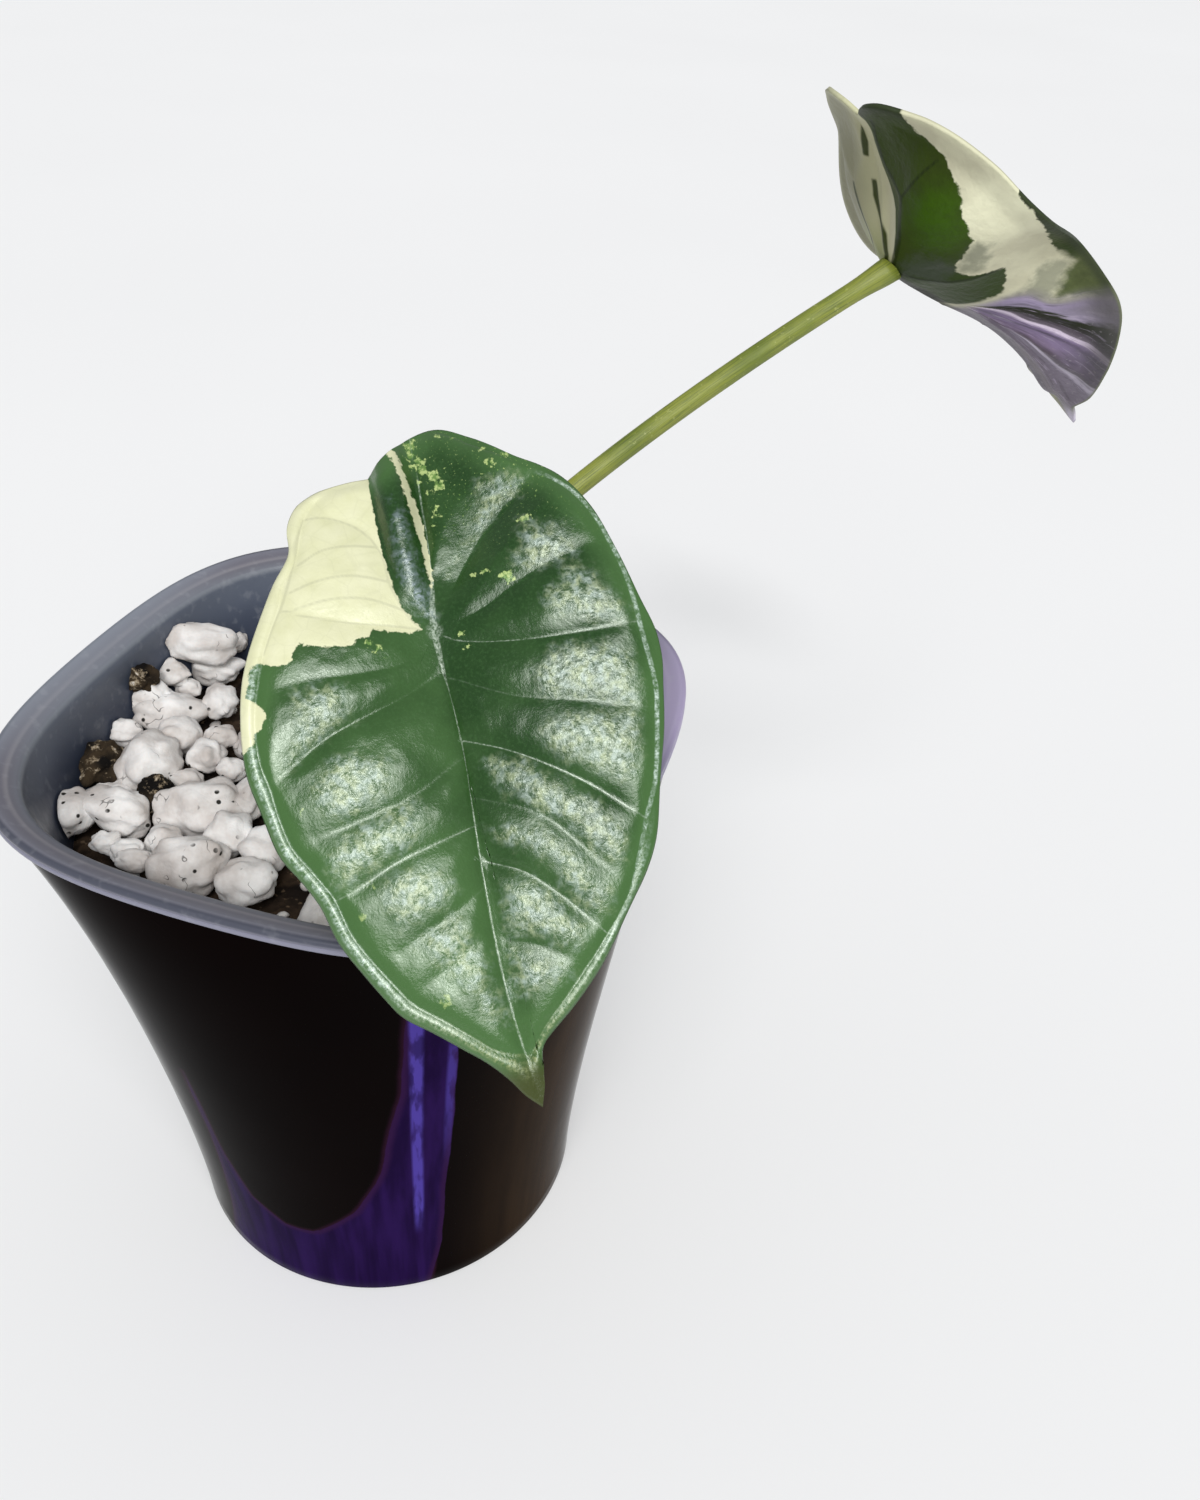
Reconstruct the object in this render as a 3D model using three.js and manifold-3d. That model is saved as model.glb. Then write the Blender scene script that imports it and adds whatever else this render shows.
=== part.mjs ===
// Potted alocasia: two leaf blades on stalks, in a square-topped pot with a hanging inner pot.
// Millimetres, +Z up, origin at the centre of the pot's base, the pot's flat sides toward X and Y.
import * as THREE from "three";
import manifoldModule from "manifold-3d";

const wasm = await manifoldModule();
wasm.setup();
const { Manifold, Mesh: SolidMesh } = wasm;

// Pots
const potSegments = 56;
const wallSteps = [104, 84, 56, 28];
const footRadius = 40.8;
const wallTopRadius = 57.3;
const wallTopZ = 116.8;
const wallCurve = 1.43;
const cornerOnset = 5.5;
const cornerShare = 0.058;
const cornerFine = 0.003;
const potWall = 1.6;
const potFloor = 3;
const potRimZ = 117.2;
const lipRadius = 58.2;
const lipTopZ = 119;
const linerClearance = 0.4;
const linerWall = 1.0;
const linerFloorZ = 22;
const mixClearance = 0.3;

// Growing mix, crown and perlite
const mixTopZ = 98.5;
const layerTopZ = 100;
const crownRadius = 9;
const crownBaseZ = 86;
const stalkSeatZ = 98;
const whiteLumps = [
  [-45.2, 18.4, 110.6, 7.4, 4, 18], [-43.2, 20.4, 103.6, 4.7, 3.4, 18], [-48.2, 12.4, 106.6, 4.3, 2.6, -7],
  [-48.2, 4.4, 105.6, 5.5, 3.3, 10], [-43.2, 4.4, 103.6, 6.7, 3.7, 23], [-36.2, 10.4, 103.6, 3.1, 4.2, 18],
  [-47.2, -4.6, 103.6, 3.5, 2.4, 18], [-37.2, -2.6, 103.6, 4.6, 3.8, 18], [-37.2, -11.6, 103.6, 5.4, 6, 18],
  [-29.2, -5.6, 103.6, 3.1, 3.1, 18], [-30.2, 0.4, 103.6, 2.9, 2.4, 18], [-42.2, -27.6, 103.6, 3.9, 4.7, 18],
  [-35.2, -24.6, 103.6, 6.5, 4.1, -15], [-22.2, -18.6, 103.6, 7.7, 5.2, 26], [-16.2, -13.6, 103.6, 2.7, 4.8, 18],
  [-14.2, -23.6, 103.6, 4.4, 4, 33], [-23.2, -28.6, 103.6, 3, 3, 18], [-16.2, -32.6, 103.6, 6.2, 4.7, 18],
  [-6.2, -24.6, 103.6, 4.1, 4.1, 18], [-5.2, -32.6, 103.6, 4.5, 3.7, 18], [-28.2, -32.6, 103.1, 2.8, 2.2, 18],
];
const darkLumps = [
  [-49.2, 4.4, 109.6, 2.8, 2.6, 18], [-45.7, -14.6, 103.6, 3.8, 4.6, 18], [-31.4, -19, 104.8, 2.7, 2.9, 48],
  [22, 30, 102, 4.5, 3.6, 40], [38, -14, 101.5, 3.6, 3.2, 10], [1.8, 38.4, 103.1, 4.2, 3.4, 70],
];
const scatterCount = 18;
const scatterSeed = 11;

// Leaf blades: outlines and veins in millimetres on the flat blade,
// first number toward the tip, second across, with the stalk's seat at 0, 0.
const bladeThickness = 0.8;
const frontRight = [
  [68.2, 0], [64.5, 1.1], [61.9, 1.2], [60.3, 1.6], [58.9, 2.8], [57.4, 4.7], [55.7, 7],
  [53.3, 9.8], [51, 12.2], [48.3, 14.5], [46.5, 15.9], [42.9, 18.8], [39.3, 21.6], [35.5, 23.7],
  [27.5, 26.1], [21, 28.2], [15.1, 29.5], [11.2, 30.3], [7.2, 30.3], [2, 29.1], [-5.3, 27.7],
  [-13.1, 25.7], [-18.9, 22.5], [-23.4, 17.3], [-29, 11.6], [-32.1, 7.3], [-31.8, 3.3],
  [-30.9, 1.3], [-28.3, -1.3], [-26.7, -3.2], [-25.8, -4.5],
];
const frontLeft = [
  [68.2, 0], [66, -1.9], [63.5, -3.4], [60.4, -5.8], [57.8, -8.6], [54.6, -12.1], [51.6, -15.6],
  [48.5, -17.5], [44.7, -19.5], [40.1, -21.7], [34.3, -23.2], [30.6, -24.9], [26.7, -27],
  [20.7, -28.1], [15.8, -28.9], [10.6, -28.7], [3, -27.3], [-0.9, -25.9], [-4.7, -24.1],
  [-11.1, -20.7], [-15.8, -17.7], [-20, -17.4], [-23.1, -15.8], [-24.3, -14.1],
  [-25.3, -11.7], [-25.9, -7], [-25.8, -4.5],
];
const frontVeins = [
  [[0, 0], [16.3, 0.3], [33.3, -0.9], [50.8, -1.4], [66, 0]],
  [[0, 0], [-5.5, 3.7], [-11.9, 9.3], [-19, 18.3], [-20.7, 21.5]],
  [[0, 0], [-11, 1.6], [-25, 2.5], [-30.5, 2.9]],
  [[0, 0], [-13.7, -5.2], [-17.1, -6.5], [-19.9, -10.4], [-21.6, -14.7]],
  [[0, 0], [4.1, 14.4], [5.5, 27]],
  [[0, 0], [-3.2, -11.3], [-7.2, -20.3]],
  [[6.8, 0], [14.2, 14.9], [18.1, 26.2]],
  [[5.8, 0], [9, -6.8], [10.9, -13], [13.2, -19], [18, -25.9]],
  [[16.5, 0.7], [19.4, 6.5], [25.9, 15.5], [32.6, 21.9]],
  [[17.7, 0], [22.1, -5.7], [24.6, -14.7], [25.7, -21.7]],
  [[24.8, 0.6], [29.1, 8.7], [34.4, 13.1], [39.8, 17]],
  [[27.8, -0.6], [30.5, -9.2], [32.9, -16.9], [34, -20.8]],
  [[33.3, -0.9], [36.4, 4.9], [40.8, 9.1], [46.7, 13.1]],
  [[35.9, -1.1], [38.4, -6.2], [41.8, -15]],
  [[44.2, -1.3], [46.7, 3.4], [50.1, 8.3]],
  [[43.7, -1.6], [45, -4.9], [48.6, -12]],
];
// The front blade lies over a plane: seat, direction of the tip, direction across.
const frontSeat = new THREE.Vector3(25, -22, 153.1);
const frontTip = new THREE.Vector3(0.457, -0.554, -0.696).normalize();
const frontAcross = new THREE.Vector3(0.851, 0.5, 0.161).normalize();
const frontLength = 68.2;

const backHalf = [
  [68, 0], [64, 1.5], [60, 3], [56, 8], [50, 13.5], [43, 19], [35, 24], [27, 27], [18, 29.5],
  [8, 30.5], [-1, 29.8], [-9, 28], [-17, 25], [-23.5, 20.5], [-28.5, 14.5], [-32, 8.5],
  [-31, 3.5], [-28.5, 0],
];
const backHalfVeins = [
  [[0, 0], [-6, 2.5], [-13, 5.5], [-21, 13], [-24, 18]],
  [[-13, 5.5], [-27, 4], [-30, 4.5]],
  [[0, 0], [-1, 14], [-4, 27]],
  [[6, 0], [10, 13], [15, 26]],
  [[18, 0], [23, 13], [29, 23]],
  [[29, 0], [34, 10], [40, 18]],
  [[39, 0], [44, 8], [49, 12]],
];
// The back blade: each row is a place on the flat blade (2 numbers) and where it lies (3 numbers).
const backPlaces = [
  [68, 0, 112.8, 118.7, 146], [52, 0, 104.3, 108.8, 155.1], [34, 0, 94.4, 99.4, 166.7],
  [16, 0, 82.2, 88.7, 175], [0, 0, 71.5, 79.4, 183.2], [-15, 0, 67.6, 76.2, 197.5],
  [-28.5, 0, 62.4, 72.2, 209.2],
  [57, -7, 113, 108.3, 154.8], [46, -16, 113.9, 98, 165.3], [33, -24.5, 112.2, 90.6, 179.3],
  [17, -29.5, 102.4, 84.8, 190.4], [0, -30, 97, 70.8, 196.5], [-16, -25, 86.5, 63.9, 204.6],
  [-28, -15, 73.3, 63.3, 211.1], [-32, -7, 64.5, 65.4, 211.8], [36, -10, 103, 94.1, 167],
  [20, -14, 95.1, 85, 177.8], [4, -13, 84.5, 75.2, 184.4], [-13, -12, 75.9, 67.8, 196.4],
  [57, 7, 104, 117.3, 154.6], [46, 16, 95, 118.6, 165.6], [33, 24.5, 82.6, 117.8, 174.4],
  [17, 29.5, 66.9, 112.6, 175.8], [0, 30, 58.2, 105.8, 187.6], [-16, 25, 56.5, 97.1, 201],
  [-28, 15, 55.2, 84.2, 209.1], [-32, 7, 56.7, 75.6, 211.6], [36, 10, 91.5, 107.8, 168.6],
  [20, 14, 78.1, 101.5, 175.7], [4, 13, 67.2, 92.4, 182.1], [-13, 12, 59.8, 85, 195.2],
];

// Stalks
const stalkRadius = 1.85;
const stalkBaseRadius = 2.9;
const stalkSides = 12;
const seatRadius = 4;
const frontStalkFoot = new THREE.Vector3(1.5, -3.8, stalkSeatZ);
const backStalkFoot = new THREE.Vector3(1.5, 3.8, stalkSeatZ);

function smooth(edge0, edge1, value) {
  const t = Math.min(1, Math.max(0, (value - edge0) / (edge1 - edge0)));
  return t * t * (3 - 2 * t);
}

// A repeatable stream of numbers between 0 and 1.
function randomStream(seed) {
  let state = seed >>> 0;
  return () => {
    state = (state + 0x6d2b79f5) >>> 0;
    let t = state;
    t = Math.imul(t ^ (t >>> 15), t | 1);
    t ^= t + Math.imul(t ^ (t >>> 7), t | 61);
    return ((t ^ (t >>> 14)) >>> 0) / 4294967296;
  };
}

// How far the outline at this angle stands out from a circle; share is 1 at the rim.
function squareness(angle, share) {
  const turned = angle - Math.PI / 4;
  return 1 + share * (cornerShare * Math.cos(4 * turned) + cornerFine * Math.cos(8 * turned));
}

function wallRadius(angle, z) {
  const t = Math.min(1, Math.max(0, z / wallTopZ));
  const mean = footRadius + (wallTopRadius - footRadius) * Math.pow(t, wallCurve);
  return mean * squareness(angle, Math.pow(t, cornerOnset));
}

function lipOutline(angle, inset) {
  return lipRadius * squareness(angle, 1) - inset;
}

// A closed skin over loops of points, each loop anticlockwise seen from above, capped at both ends.
function skinOverLoops(loops) {
  const count = loops[0].length;
  const points = [];
  const faces = [];
  for (const loop of loops) {
    for (const point of loop) points.push(point);
  }
  for (let j = 0; j + 1 < loops.length; j += 1) {
    for (let k = 0; k < count; k += 1) {
      const a = j * count + k;
      const b = j * count + ((k + 1) % count);
      const c = a + count;
      const d = b + count;
      faces.push([a, b, d], [a, d, c]);
    }
  }
  const centreOf = (loop) => {
    const centre = new THREE.Vector3();
    for (const point of loop) centre.add(point);
    return centre.multiplyScalar(1 / loop.length);
  };
  const first = points.push(centreOf(loops[0])) - 1;
  const last = points.push(centreOf(loops[loops.length - 1])) - 1;
  const lastStart = (loops.length - 1) * count;
  for (let k = 0; k < count; k += 1) {
    const next = (k + 1) % count;
    faces.push([first, next, k]);
    faces.push([last, lastStart + k, lastStart + next]);
  }
  return { points, faces };
}

function loopAt(radiusAt, z) {
  const loop = [];
  for (let k = 0; k < potSegments; k += 1) {
    const angle = (2 * Math.PI * k) / potSegments;
    const radius = radiusAt(angle);
    loop.push(new THREE.Vector3(radius * Math.cos(angle), radius * Math.sin(angle), z));
  }
  return loop;
}

function meshFrom(skin, name, look) {
  const positions = [];
  for (const [a, b, c] of skin.faces) {
    for (const index of [a, b, c]) {
      const point = skin.points[index];
      positions.push(point.x, point.y, point.z);
    }
  }
  const geometry = new THREE.BufferGeometry();
  geometry.setAttribute("position", new THREE.Float32BufferAttribute(positions, 3));
  geometry.computeVertexNormals();
  const mesh = new THREE.Mesh(geometry, new THREE.MeshStandardMaterial(look));
  mesh.name = name;
  return mesh;
}

function solidFrom(skin) {
  const vertProperties = new Float32Array(skin.points.length * 3);
  skin.points.forEach((point, index) => {
    vertProperties[index * 3] = point.x;
    vertProperties[index * 3 + 1] = point.y;
    vertProperties[index * 3 + 2] = point.z;
  });
  const triVerts = new Uint32Array(skin.faces.flat());
  return new Manifold(new SolidMesh({ numProp: 3, vertProperties, triVerts }));
}

function skinFrom(solid) {
  const mesh = solid.getMesh();
  const points = [];
  for (let k = 0; k < mesh.numVert; k += 1) {
    const at = k * mesh.numProp;
    points.push(new THREE.Vector3(
      mesh.vertProperties[at], mesh.vertProperties[at + 1], mesh.vertProperties[at + 2]));
  }
  const faces = [];
  for (let k = 0; k < mesh.numTri; k += 1) {
    faces.push([mesh.triVerts[k * 3], mesh.triVerts[k * 3 + 1], mesh.triVerts[k * 3 + 2]]);
  }
  return { points, faces };
}

function outerPotSkin() {
  const outer = (z, inset = 0) => loopAt((angle) => wallRadius(angle, z) - inset, z);
  const loops = [loopAt((angle) => wallRadius(angle, 0) - 1.5, 0), outer(1.5)];
  for (const z of [20, 44, 64, 82, 96, 106, 112, potRimZ]) loops.push(outer(z));
  for (const z of [potRimZ, 112, ...wallSteps, 6]) loops.push(outer(z, potWall));
  loops.push(loopAt((angle) => wallRadius(angle, potFloor) - potWall - 2, potFloor));
  return skinOverLoops(loops);
}

function linerSkin() {
  const outside = potWall + linerClearance;
  const inside = outside + linerWall;
  const wall = (z, inset) => loopAt((angle) => wallRadius(angle, z) - inset, z);
  const lip = (inset, z) => loopAt((angle) => lipOutline(angle, inset), z);
  const loops = [wall(linerFloorZ, outside + 2)];
  for (const z of [linerFloorZ + 2, ...wallSteps.toReversed(), 112, potRimZ]) {
    loops.push(wall(z, outside));
  }
  loops.push(lip(0.5, potRimZ), lip(0.5, wallTopZ), lip(0, wallTopZ));
  loops.push(lip(0, lipTopZ - 0.6), lip(0.4, lipTopZ - 0.1), lip(1.1, lipTopZ));
  loops.push(lip(5.2, lipTopZ - 1.6), lip(5.6, lipTopZ - 2), lip(5.5, lipTopZ - 3));
  for (const z of [112, ...wallSteps]) loops.push(wall(z, inside));
  loops.push(wall(linerFloorZ + linerWall, inside + 2));
  return skinOverLoops(loops);
}

// A stone-like lump: an icosphere pushed in and out by a few waves, squashed and turned.
function lumpSolid([x, y, z, along, across, degrees], phase, grow = 0) {
  const ball = new THREE.IcosahedronGeometry(1, 1);
  const place = ball.getAttribute("position");
  const found = new Map();
  const points = [];
  const faces = [];
  const turn = (degrees * Math.PI) / 180;
  const corner = (index) => {
    const p = new THREE.Vector3().fromBufferAttribute(place, index);
    const key = [p.x, p.y, p.z].map((value) => Math.round(value * 1e4)).join(" ");
    if (!found.has(key)) {
      const wave = 1 + 0.09 * Math.sin(3.1 * p.x + phase) + 0.07 * Math.sin(4.3 * p.y + 2 * phase)
        + 0.05 * Math.cos(5.7 * p.z - phase);
      const a = p.x * (along * wave + grow);
      const b = p.y * (across * wave + grow);
      const c = p.z * (Math.min(along, across) * wave + grow);
      found.set(key, points.push(new THREE.Vector3(
        x + a * Math.cos(turn) - b * Math.sin(turn),
        y + a * Math.sin(turn) + b * Math.cos(turn),
        z + c)) - 1);
    }
    return found.get(key);
  };
  for (let k = 0; k < place.count; k += 3) faces.push([corner(k), corner(k + 1), corner(k + 2)]);
  return solidFrom({ points, faces });
}

// White lumps that fill the part of the surface where none is placed by hand.
function scatteredLumps() {
  const draw = randomStream(scatterSeed);
  const placed = [...whiteLumps, ...darkLumps];
  const scattered = [];
  for (let attempt = 0; attempt < 4000 && scattered.length < scatterCount; attempt += 1) {
    const angle = 2 * Math.PI * draw();
    const distance = 44 * Math.sqrt(draw());
    const along = 4.6 + 3 * draw();
    const across = along * (0.65 + 0.3 * draw());
    const turn = Math.round(360 * draw());
    const x = distance * Math.cos(angle);
    const y = distance * Math.sin(angle);
    const clearOfCrown = distance > crownRadius + 0.7 * along;
    const clear = placed.every((lump) => Math.hypot(lump[0] - x, lump[1] - y)
      > 0.62 * (along + Math.max(lump[3], lump[4])));
    if (clear && clearOfCrown) {
      const lump = [x, y, 101.5, along, across, turn];
      placed.push(lump);
      scattered.push(lump);
    }
  }
  return scattered;
}

function roundBar(radius, fromZ, toZ, sides = 32) {
  return Manifold.cylinder(toZ - fromZ, radius, radius, sides).translate([0, 0, fromZ]);
}

// Everything inside the inner pot's wall, less a clearance, between two heights.
function insideOfLiner(fromZ, toZ, clearance) {
  const inset = potWall + linerClearance + linerWall + clearance;
  const between = wallSteps.filter((z) => z > fromZ && z < toZ).reverse();
  const loops = [fromZ, ...between, toZ].map((z) => loopAt(
    (angle) => wallRadius(angle, z) - inset - (z < wallSteps[3] ? 2 : 0), z));
  return solidFrom(skinOverLoops(loops));
}

function growingMixSolid() {
  const parts = [insideOfLiner(linerFloorZ + linerWall, mixTopZ, mixClearance)];
  const above = insideOfLiner(mixTopZ - 1, 112, 0.6);
  darkLumps.forEach((lump, index) => parts.push(lumpSolid(lump, 1.3 * index)));
  darkLumps.forEach((lump) => parts.push(roundBar(lump[4] * 0.55, mixTopZ - 1, lump[2], 8)
    .translate([lump[0], lump[1], 0])));
  const lumps = Manifold.union(parts.slice(1)).intersect(above);
  return Manifold.union([parts[0], lumps])
    .subtract(roundBar(crownRadius + 0.3, crownBaseZ, 130)).asOriginal().simplify(0.05);
}

function perliteSolid() {
  const lumps = [...whiteLumps, ...scatteredLumps()];
  const layer = insideOfLiner(mixTopZ, layerTopZ, 0.6);
  const room = insideOfLiner(mixTopZ, 113, 0.9);
  const raised = lumps.map((lump, index) => lumpSolid(lump, 0.9 * index, 0.7));
  const posts = whiteLumps.filter((lump) => lump[2] > 102)
    .map((lump) => roundBar(lump[4] * 0.8, mixTopZ, lump[2], 8).translate([lump[0], lump[1], 0]));
  let body = Manifold.union([layer, ...raised, ...posts]).intersect(room);
  darkLumps.forEach((lump, index) => {
    body = body.subtract(lumpSolid(lump, 1.3 * index, 0.4));
    body = body.subtract(roundBar(lump[4] * 0.55 + 0.4, mixTopZ - 1, lump[2], 8)
      .translate([lump[0], lump[1], 0]));
  });
  body = body.subtract(roundBar(crownRadius + 0.6, mixTopZ - 1, 130));
  return body.asOriginal().simplify(0.3).decompose()
    .reduce((best, piece) => (piece.volume() > best.volume() ? piece : best));
}

// Points of a stalk's centre line: straight up out of the crown, then one smooth bend.
function stalkLine(foot, middle, arrival, end) {
  const start = new THREE.Vector3(foot.x, foot.y, 110);
  const bend = new THREE.CubicBezierCurve3(start, middle, arrival, end);
  return [foot.clone(), new THREE.Vector3(foot.x, foot.y, 104), ...bend.getPoints(15)];
}

// A closed tube along a line; its last section is slid onto the plane through seat.
function stalkSkin(line, seat, seatNormal, grow = 0) {
  const loops = [];
  let side = new THREE.Vector3(1, 0, 0);
  line.forEach((point, index) => {
    const before = line[Math.max(0, index - 1)];
    const after = line[Math.min(line.length - 1, index + 1)];
    const along = after.clone().sub(before).normalize();
    side = side.clone().sub(along.clone().multiplyScalar(side.dot(along))).normalize();
    const other = new THREE.Vector3().crossVectors(along, side);
    const share = smooth(stalkSeatZ + 10, stalkSeatZ + 34, point.z);
    const radius = THREE.MathUtils.lerp(stalkBaseRadius, stalkRadius, share) + grow;
    const loop = [];
    for (let k = 0; k < stalkSides; k += 1) {
      const angle = (2 * Math.PI * k) / stalkSides;
      const corner = point.clone().addScaledVector(side, radius * Math.cos(angle))
        .addScaledVector(other, radius * Math.sin(angle));
      if (index === line.length - 1) {
        const reach = seat.clone().sub(corner).dot(seatNormal) / along.dot(seatNormal);
        corner.addScaledVector(along, reach);
      }
      loop.push(corner);
    }
    loops.push(loop);
  });
  return skinOverLoops(loops);
}

// Distance from a place on the flat blade to the nearest vein.
function veinDistance(veins, u, w) {
  let nearest = Infinity;
  for (const vein of veins) {
    for (let k = 0; k + 1 < vein.length; k += 1) {
      const [ax, ay] = vein[k];
      const [bx, by] = vein[k + 1];
      const dx = bx - ax;
      const dy = by - ay;
      const along = ((u - ax) * dx + (w - ay) * dy) / (dx * dx + dy * dy);
      const t = Math.min(1, Math.max(0, along));
      nearest = Math.min(nearest, Math.hypot(u - ax - t * dx, w - ay - t * dy));
    }
  }
  return nearest;
}

// The blade stands up between its veins, and dies out toward the margin and the stalk's seat.
function quilting(veins, u, w, share) {
  const distance = veinDistance(veins, u, w);
  const rise = 1.3 * (1 - Math.exp(-((distance / 3.2) ** 2)));
  return rise * smooth(1, 0.86, share) * smooth(seatRadius, seatRadius + 5, Math.hypot(u, w));
}

// Even steps along an open outline, both ends kept.
function evenSteps(outline, steps) {
  const curve = new THREE.CatmullRomCurve3(
    outline.map(([u, w]) => new THREE.Vector3(u, w, 0)), false, "centripetal");
  curve.arcLengthDivisions = 600;
  return curve.getSpacedPoints(steps).map((point) => [point.x, point.y]);
}

// A blade of even thickness over spaceAt(u, w, share), a middle surface in space.
function bladeSkin(margin, spaceAt, seat, seatNormal) {
  const shares = [0.18, 0.31, 0.43, 0.55, 0.66, 0.76, 0.86, 0.94, 1];
  const count = margin.length;
  const middle = [seat.clone()];
  const across = new THREE.Vector3().crossVectors(seatNormal, new THREE.Vector3(0, 0, 1));
  across.normalize();
  margin.forEach(([u, w]) => {
    const length = Math.hypot(u, w);
    const place = spaceAt((u * seatRadius) / length, (w * seatRadius) / length, 0);
    const lift = place.clone().sub(seat).dot(seatNormal);
    middle.push(place.addScaledVector(seatNormal, -lift));
  });
  for (const share of shares) {
    for (const [u, w] of margin) {
      const length = Math.hypot(u, w);
      const inner = seatRadius / length;
      const at = inner + (1 - inner) * share;
      middle.push(spaceAt(u * at, w * at, share));
    }
  }
  const rings = shares.length + 1;
  const sheet = [];
  for (let k = 0; k < count; k += 1) {
    const next = (k + 1) % count;
    sheet.push([0, 1 + k, 1 + next]);
    for (let j = 0; j + 1 < rings; j += 1) {
      const a = 1 + j * count + k;
      const b = 1 + j * count + next;
      sheet.push([a, a + count, b + count], [a, b + count, b]);
    }
  }
  const normals = middle.map(() => new THREE.Vector3());
  const edge1 = new THREE.Vector3();
  const edge2 = new THREE.Vector3();
  for (const [a, b, c] of sheet) {
    edge1.subVectors(middle[b], middle[a]);
    edge2.subVectors(middle[c], middle[a]);
    edge1.cross(edge2);
    for (const index of [a, b, c]) normals[index].add(edge1);
  }
  const sign = normals[0].dot(seatNormal) > 0 ? 1 : -1;
  normals.forEach((normal, index) => {
    normal.normalize().multiplyScalar(sign);
    if (index <= count) normal.copy(seatNormal);
  });
  const half = bladeThickness / 2;
  const total = middle.length;
  const points = middle.map((point, index) => point.clone().addScaledVector(normals[index], half));
  middle.forEach((point, index) => {
    points.push(point.clone().addScaledVector(normals[index], -half));
  });
  const faces = [];
  for (const [a, b, c] of sheet) {
    const up = sign > 0 ? [a, b, c] : [a, c, b];
    faces.push(up, [up[0] + total, up[2] + total, up[1] + total]);
  }
  const rimStart = 1 + (rings - 1) * count;
  for (let k = 0; k < count; k += 1) {
    const a = rimStart + k;
    const b = rimStart + ((k + 1) % count);
    if (sign > 0) faces.push([a, a + total, b + total], [a, b + total, b]);
    else faces.push([a, b + total, a + total], [a, b, b + total]);
  }
  return { points, faces };
}

function marginOf(rightSide, leftSide, steps) {
  const right = evenSteps(rightSide, steps);
  const left = evenSteps(leftSide, steps).reverse();
  return [...right, ...left.slice(1, -1)];
}

function frontBlade() {
  const normal = new THREE.Vector3().crossVectors(frontTip, frontAcross).normalize();
  if (normal.z < 0) normal.negate();
  const spaceAt = (u, w, share) => {
    const arch = u >= 0 ? (9 * u * (1 - u / frontLength)) / frontLength
      : (9 * u) / frontLength - 0.0035 * u * u;
    // The blade is dished round the stalk, and the dish narrows to a groove toward the tip.
    const taper = Math.exp(-((Math.max(u, 0) / 37) ** 2));
    const dish = (0.3 + 4.7 * taper) * (1 - Math.exp(-((Math.abs(w) / (2 + 10 * taper)) ** 1.3)))
      * smooth(-36, 8, u);
    const lobes = Math.max(10 - u, 0) * (0.12 * smooth(6, 20, w) + 0.02 * smooth(6, 20, -w));
    const sideDroop = 0.0026 * Math.max(-w - 10, 0) ** 2 * smooth(12, 26, u) + 0.0012 * w * w;
    const web = 1.8 * Math.exp(-(((w + 0.25 * u + 1) / 4) ** 2)) * smooth(-4, -16, u);
    const height = arch + dish + lobes - sideDroop + web + quilting(frontVeins, u, w, share);
    return frontSeat.clone().addScaledVector(frontTip, u).addScaledVector(frontAcross, w)
      .addScaledVector(normal, height);
  };
  const seat = spaceAt(0, 0, 0);
  const seatNormal = normal.clone().addScaledVector(frontTip, -0.13).normalize();
  return { margin: marginOf(frontRight, frontLeft, 38), spaceAt, seat, seatNormal };
}

function solveLinear(matrix, columns) {
  const size = matrix.length;
  const rows = matrix.map((row, index) => [...row, ...columns[index]]);
  for (let pivot = 0; pivot < size; pivot += 1) {
    let best = pivot;
    for (let row = pivot + 1; row < size; row += 1) {
      if (Math.abs(rows[row][pivot]) > Math.abs(rows[best][pivot])) best = row;
    }
    [rows[pivot], rows[best]] = [rows[best], rows[pivot]];
    for (let row = 0; row < size; row += 1) {
      if (row === pivot) continue;
      const factor = rows[row][pivot] / rows[pivot][pivot];
      for (let col = pivot; col < rows[row].length; col += 1) {
        rows[row][col] -= factor * rows[pivot][col];
      }
    }
  }
  return rows.map((row, index) => row.slice(size).map((value) => value / row[index]));
}

// A thin-plate surface through rows of [u, w, x, y, z].
function bentSheet(places) {
  const bulge = (distance) => (distance > 1e-9 ? distance * distance * Math.log(distance) : 0);
  const matrix = places.map((p) => [
    ...places.map((q) => bulge(Math.hypot(p[0] - q[0], p[1] - q[1]))), 1, p[0], p[1]]);
  for (const term of [0, 1, 2]) {
    matrix.push([...places.map((p) => [1, p[0], p[1]][term]), 0, 0, 0]);
  }
  const columns = places.map((p) => p.slice(2));
  columns.push([0, 0, 0], [0, 0, 0], [0, 0, 0]);
  const weights = solveLinear(matrix, columns);
  return (u, w) => {
    const sum = [0, 0, 0];
    const terms = [...places.map((p) => bulge(Math.hypot(p[0] - u, p[1] - w))), 1, u, w];
    terms.forEach((term, index) => {
      for (const axis of [0, 1, 2]) sum[axis] += term * weights[index][axis];
    });
    return new THREE.Vector3(...sum);
  };
}

function backBlade() {
  const sheet = bentSheet(backPlaces);
  const normalAt = (u, w) => {
    const step = 0.5;
    const along = sheet(u + step, w).sub(sheet(u - step, w));
    const across = sheet(u, w + step).sub(sheet(u, w - step));
    return along.cross(across).normalize();
  };
  const left = backHalf.map(([u, w]) => [u, -w]);
  const veins = [[[0, 0], [20, 0], [40, 0], [66, 0]]];
  for (const vein of backHalfVeins) {
    veins.push(vein, vein.map(([u, w]) => [u, -w]));
  }
  const spaceAt = (u, w, share) => sheet(u, w)
    .addScaledVector(normalAt(u, w), quilting(veins, u, w, share));
  return {
    margin: marginOf(backHalf, left, 36),
    spaceAt,
    seat: sheet(0, 0),
    seatNormal: normalAt(0, 0),
  };
}

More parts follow.
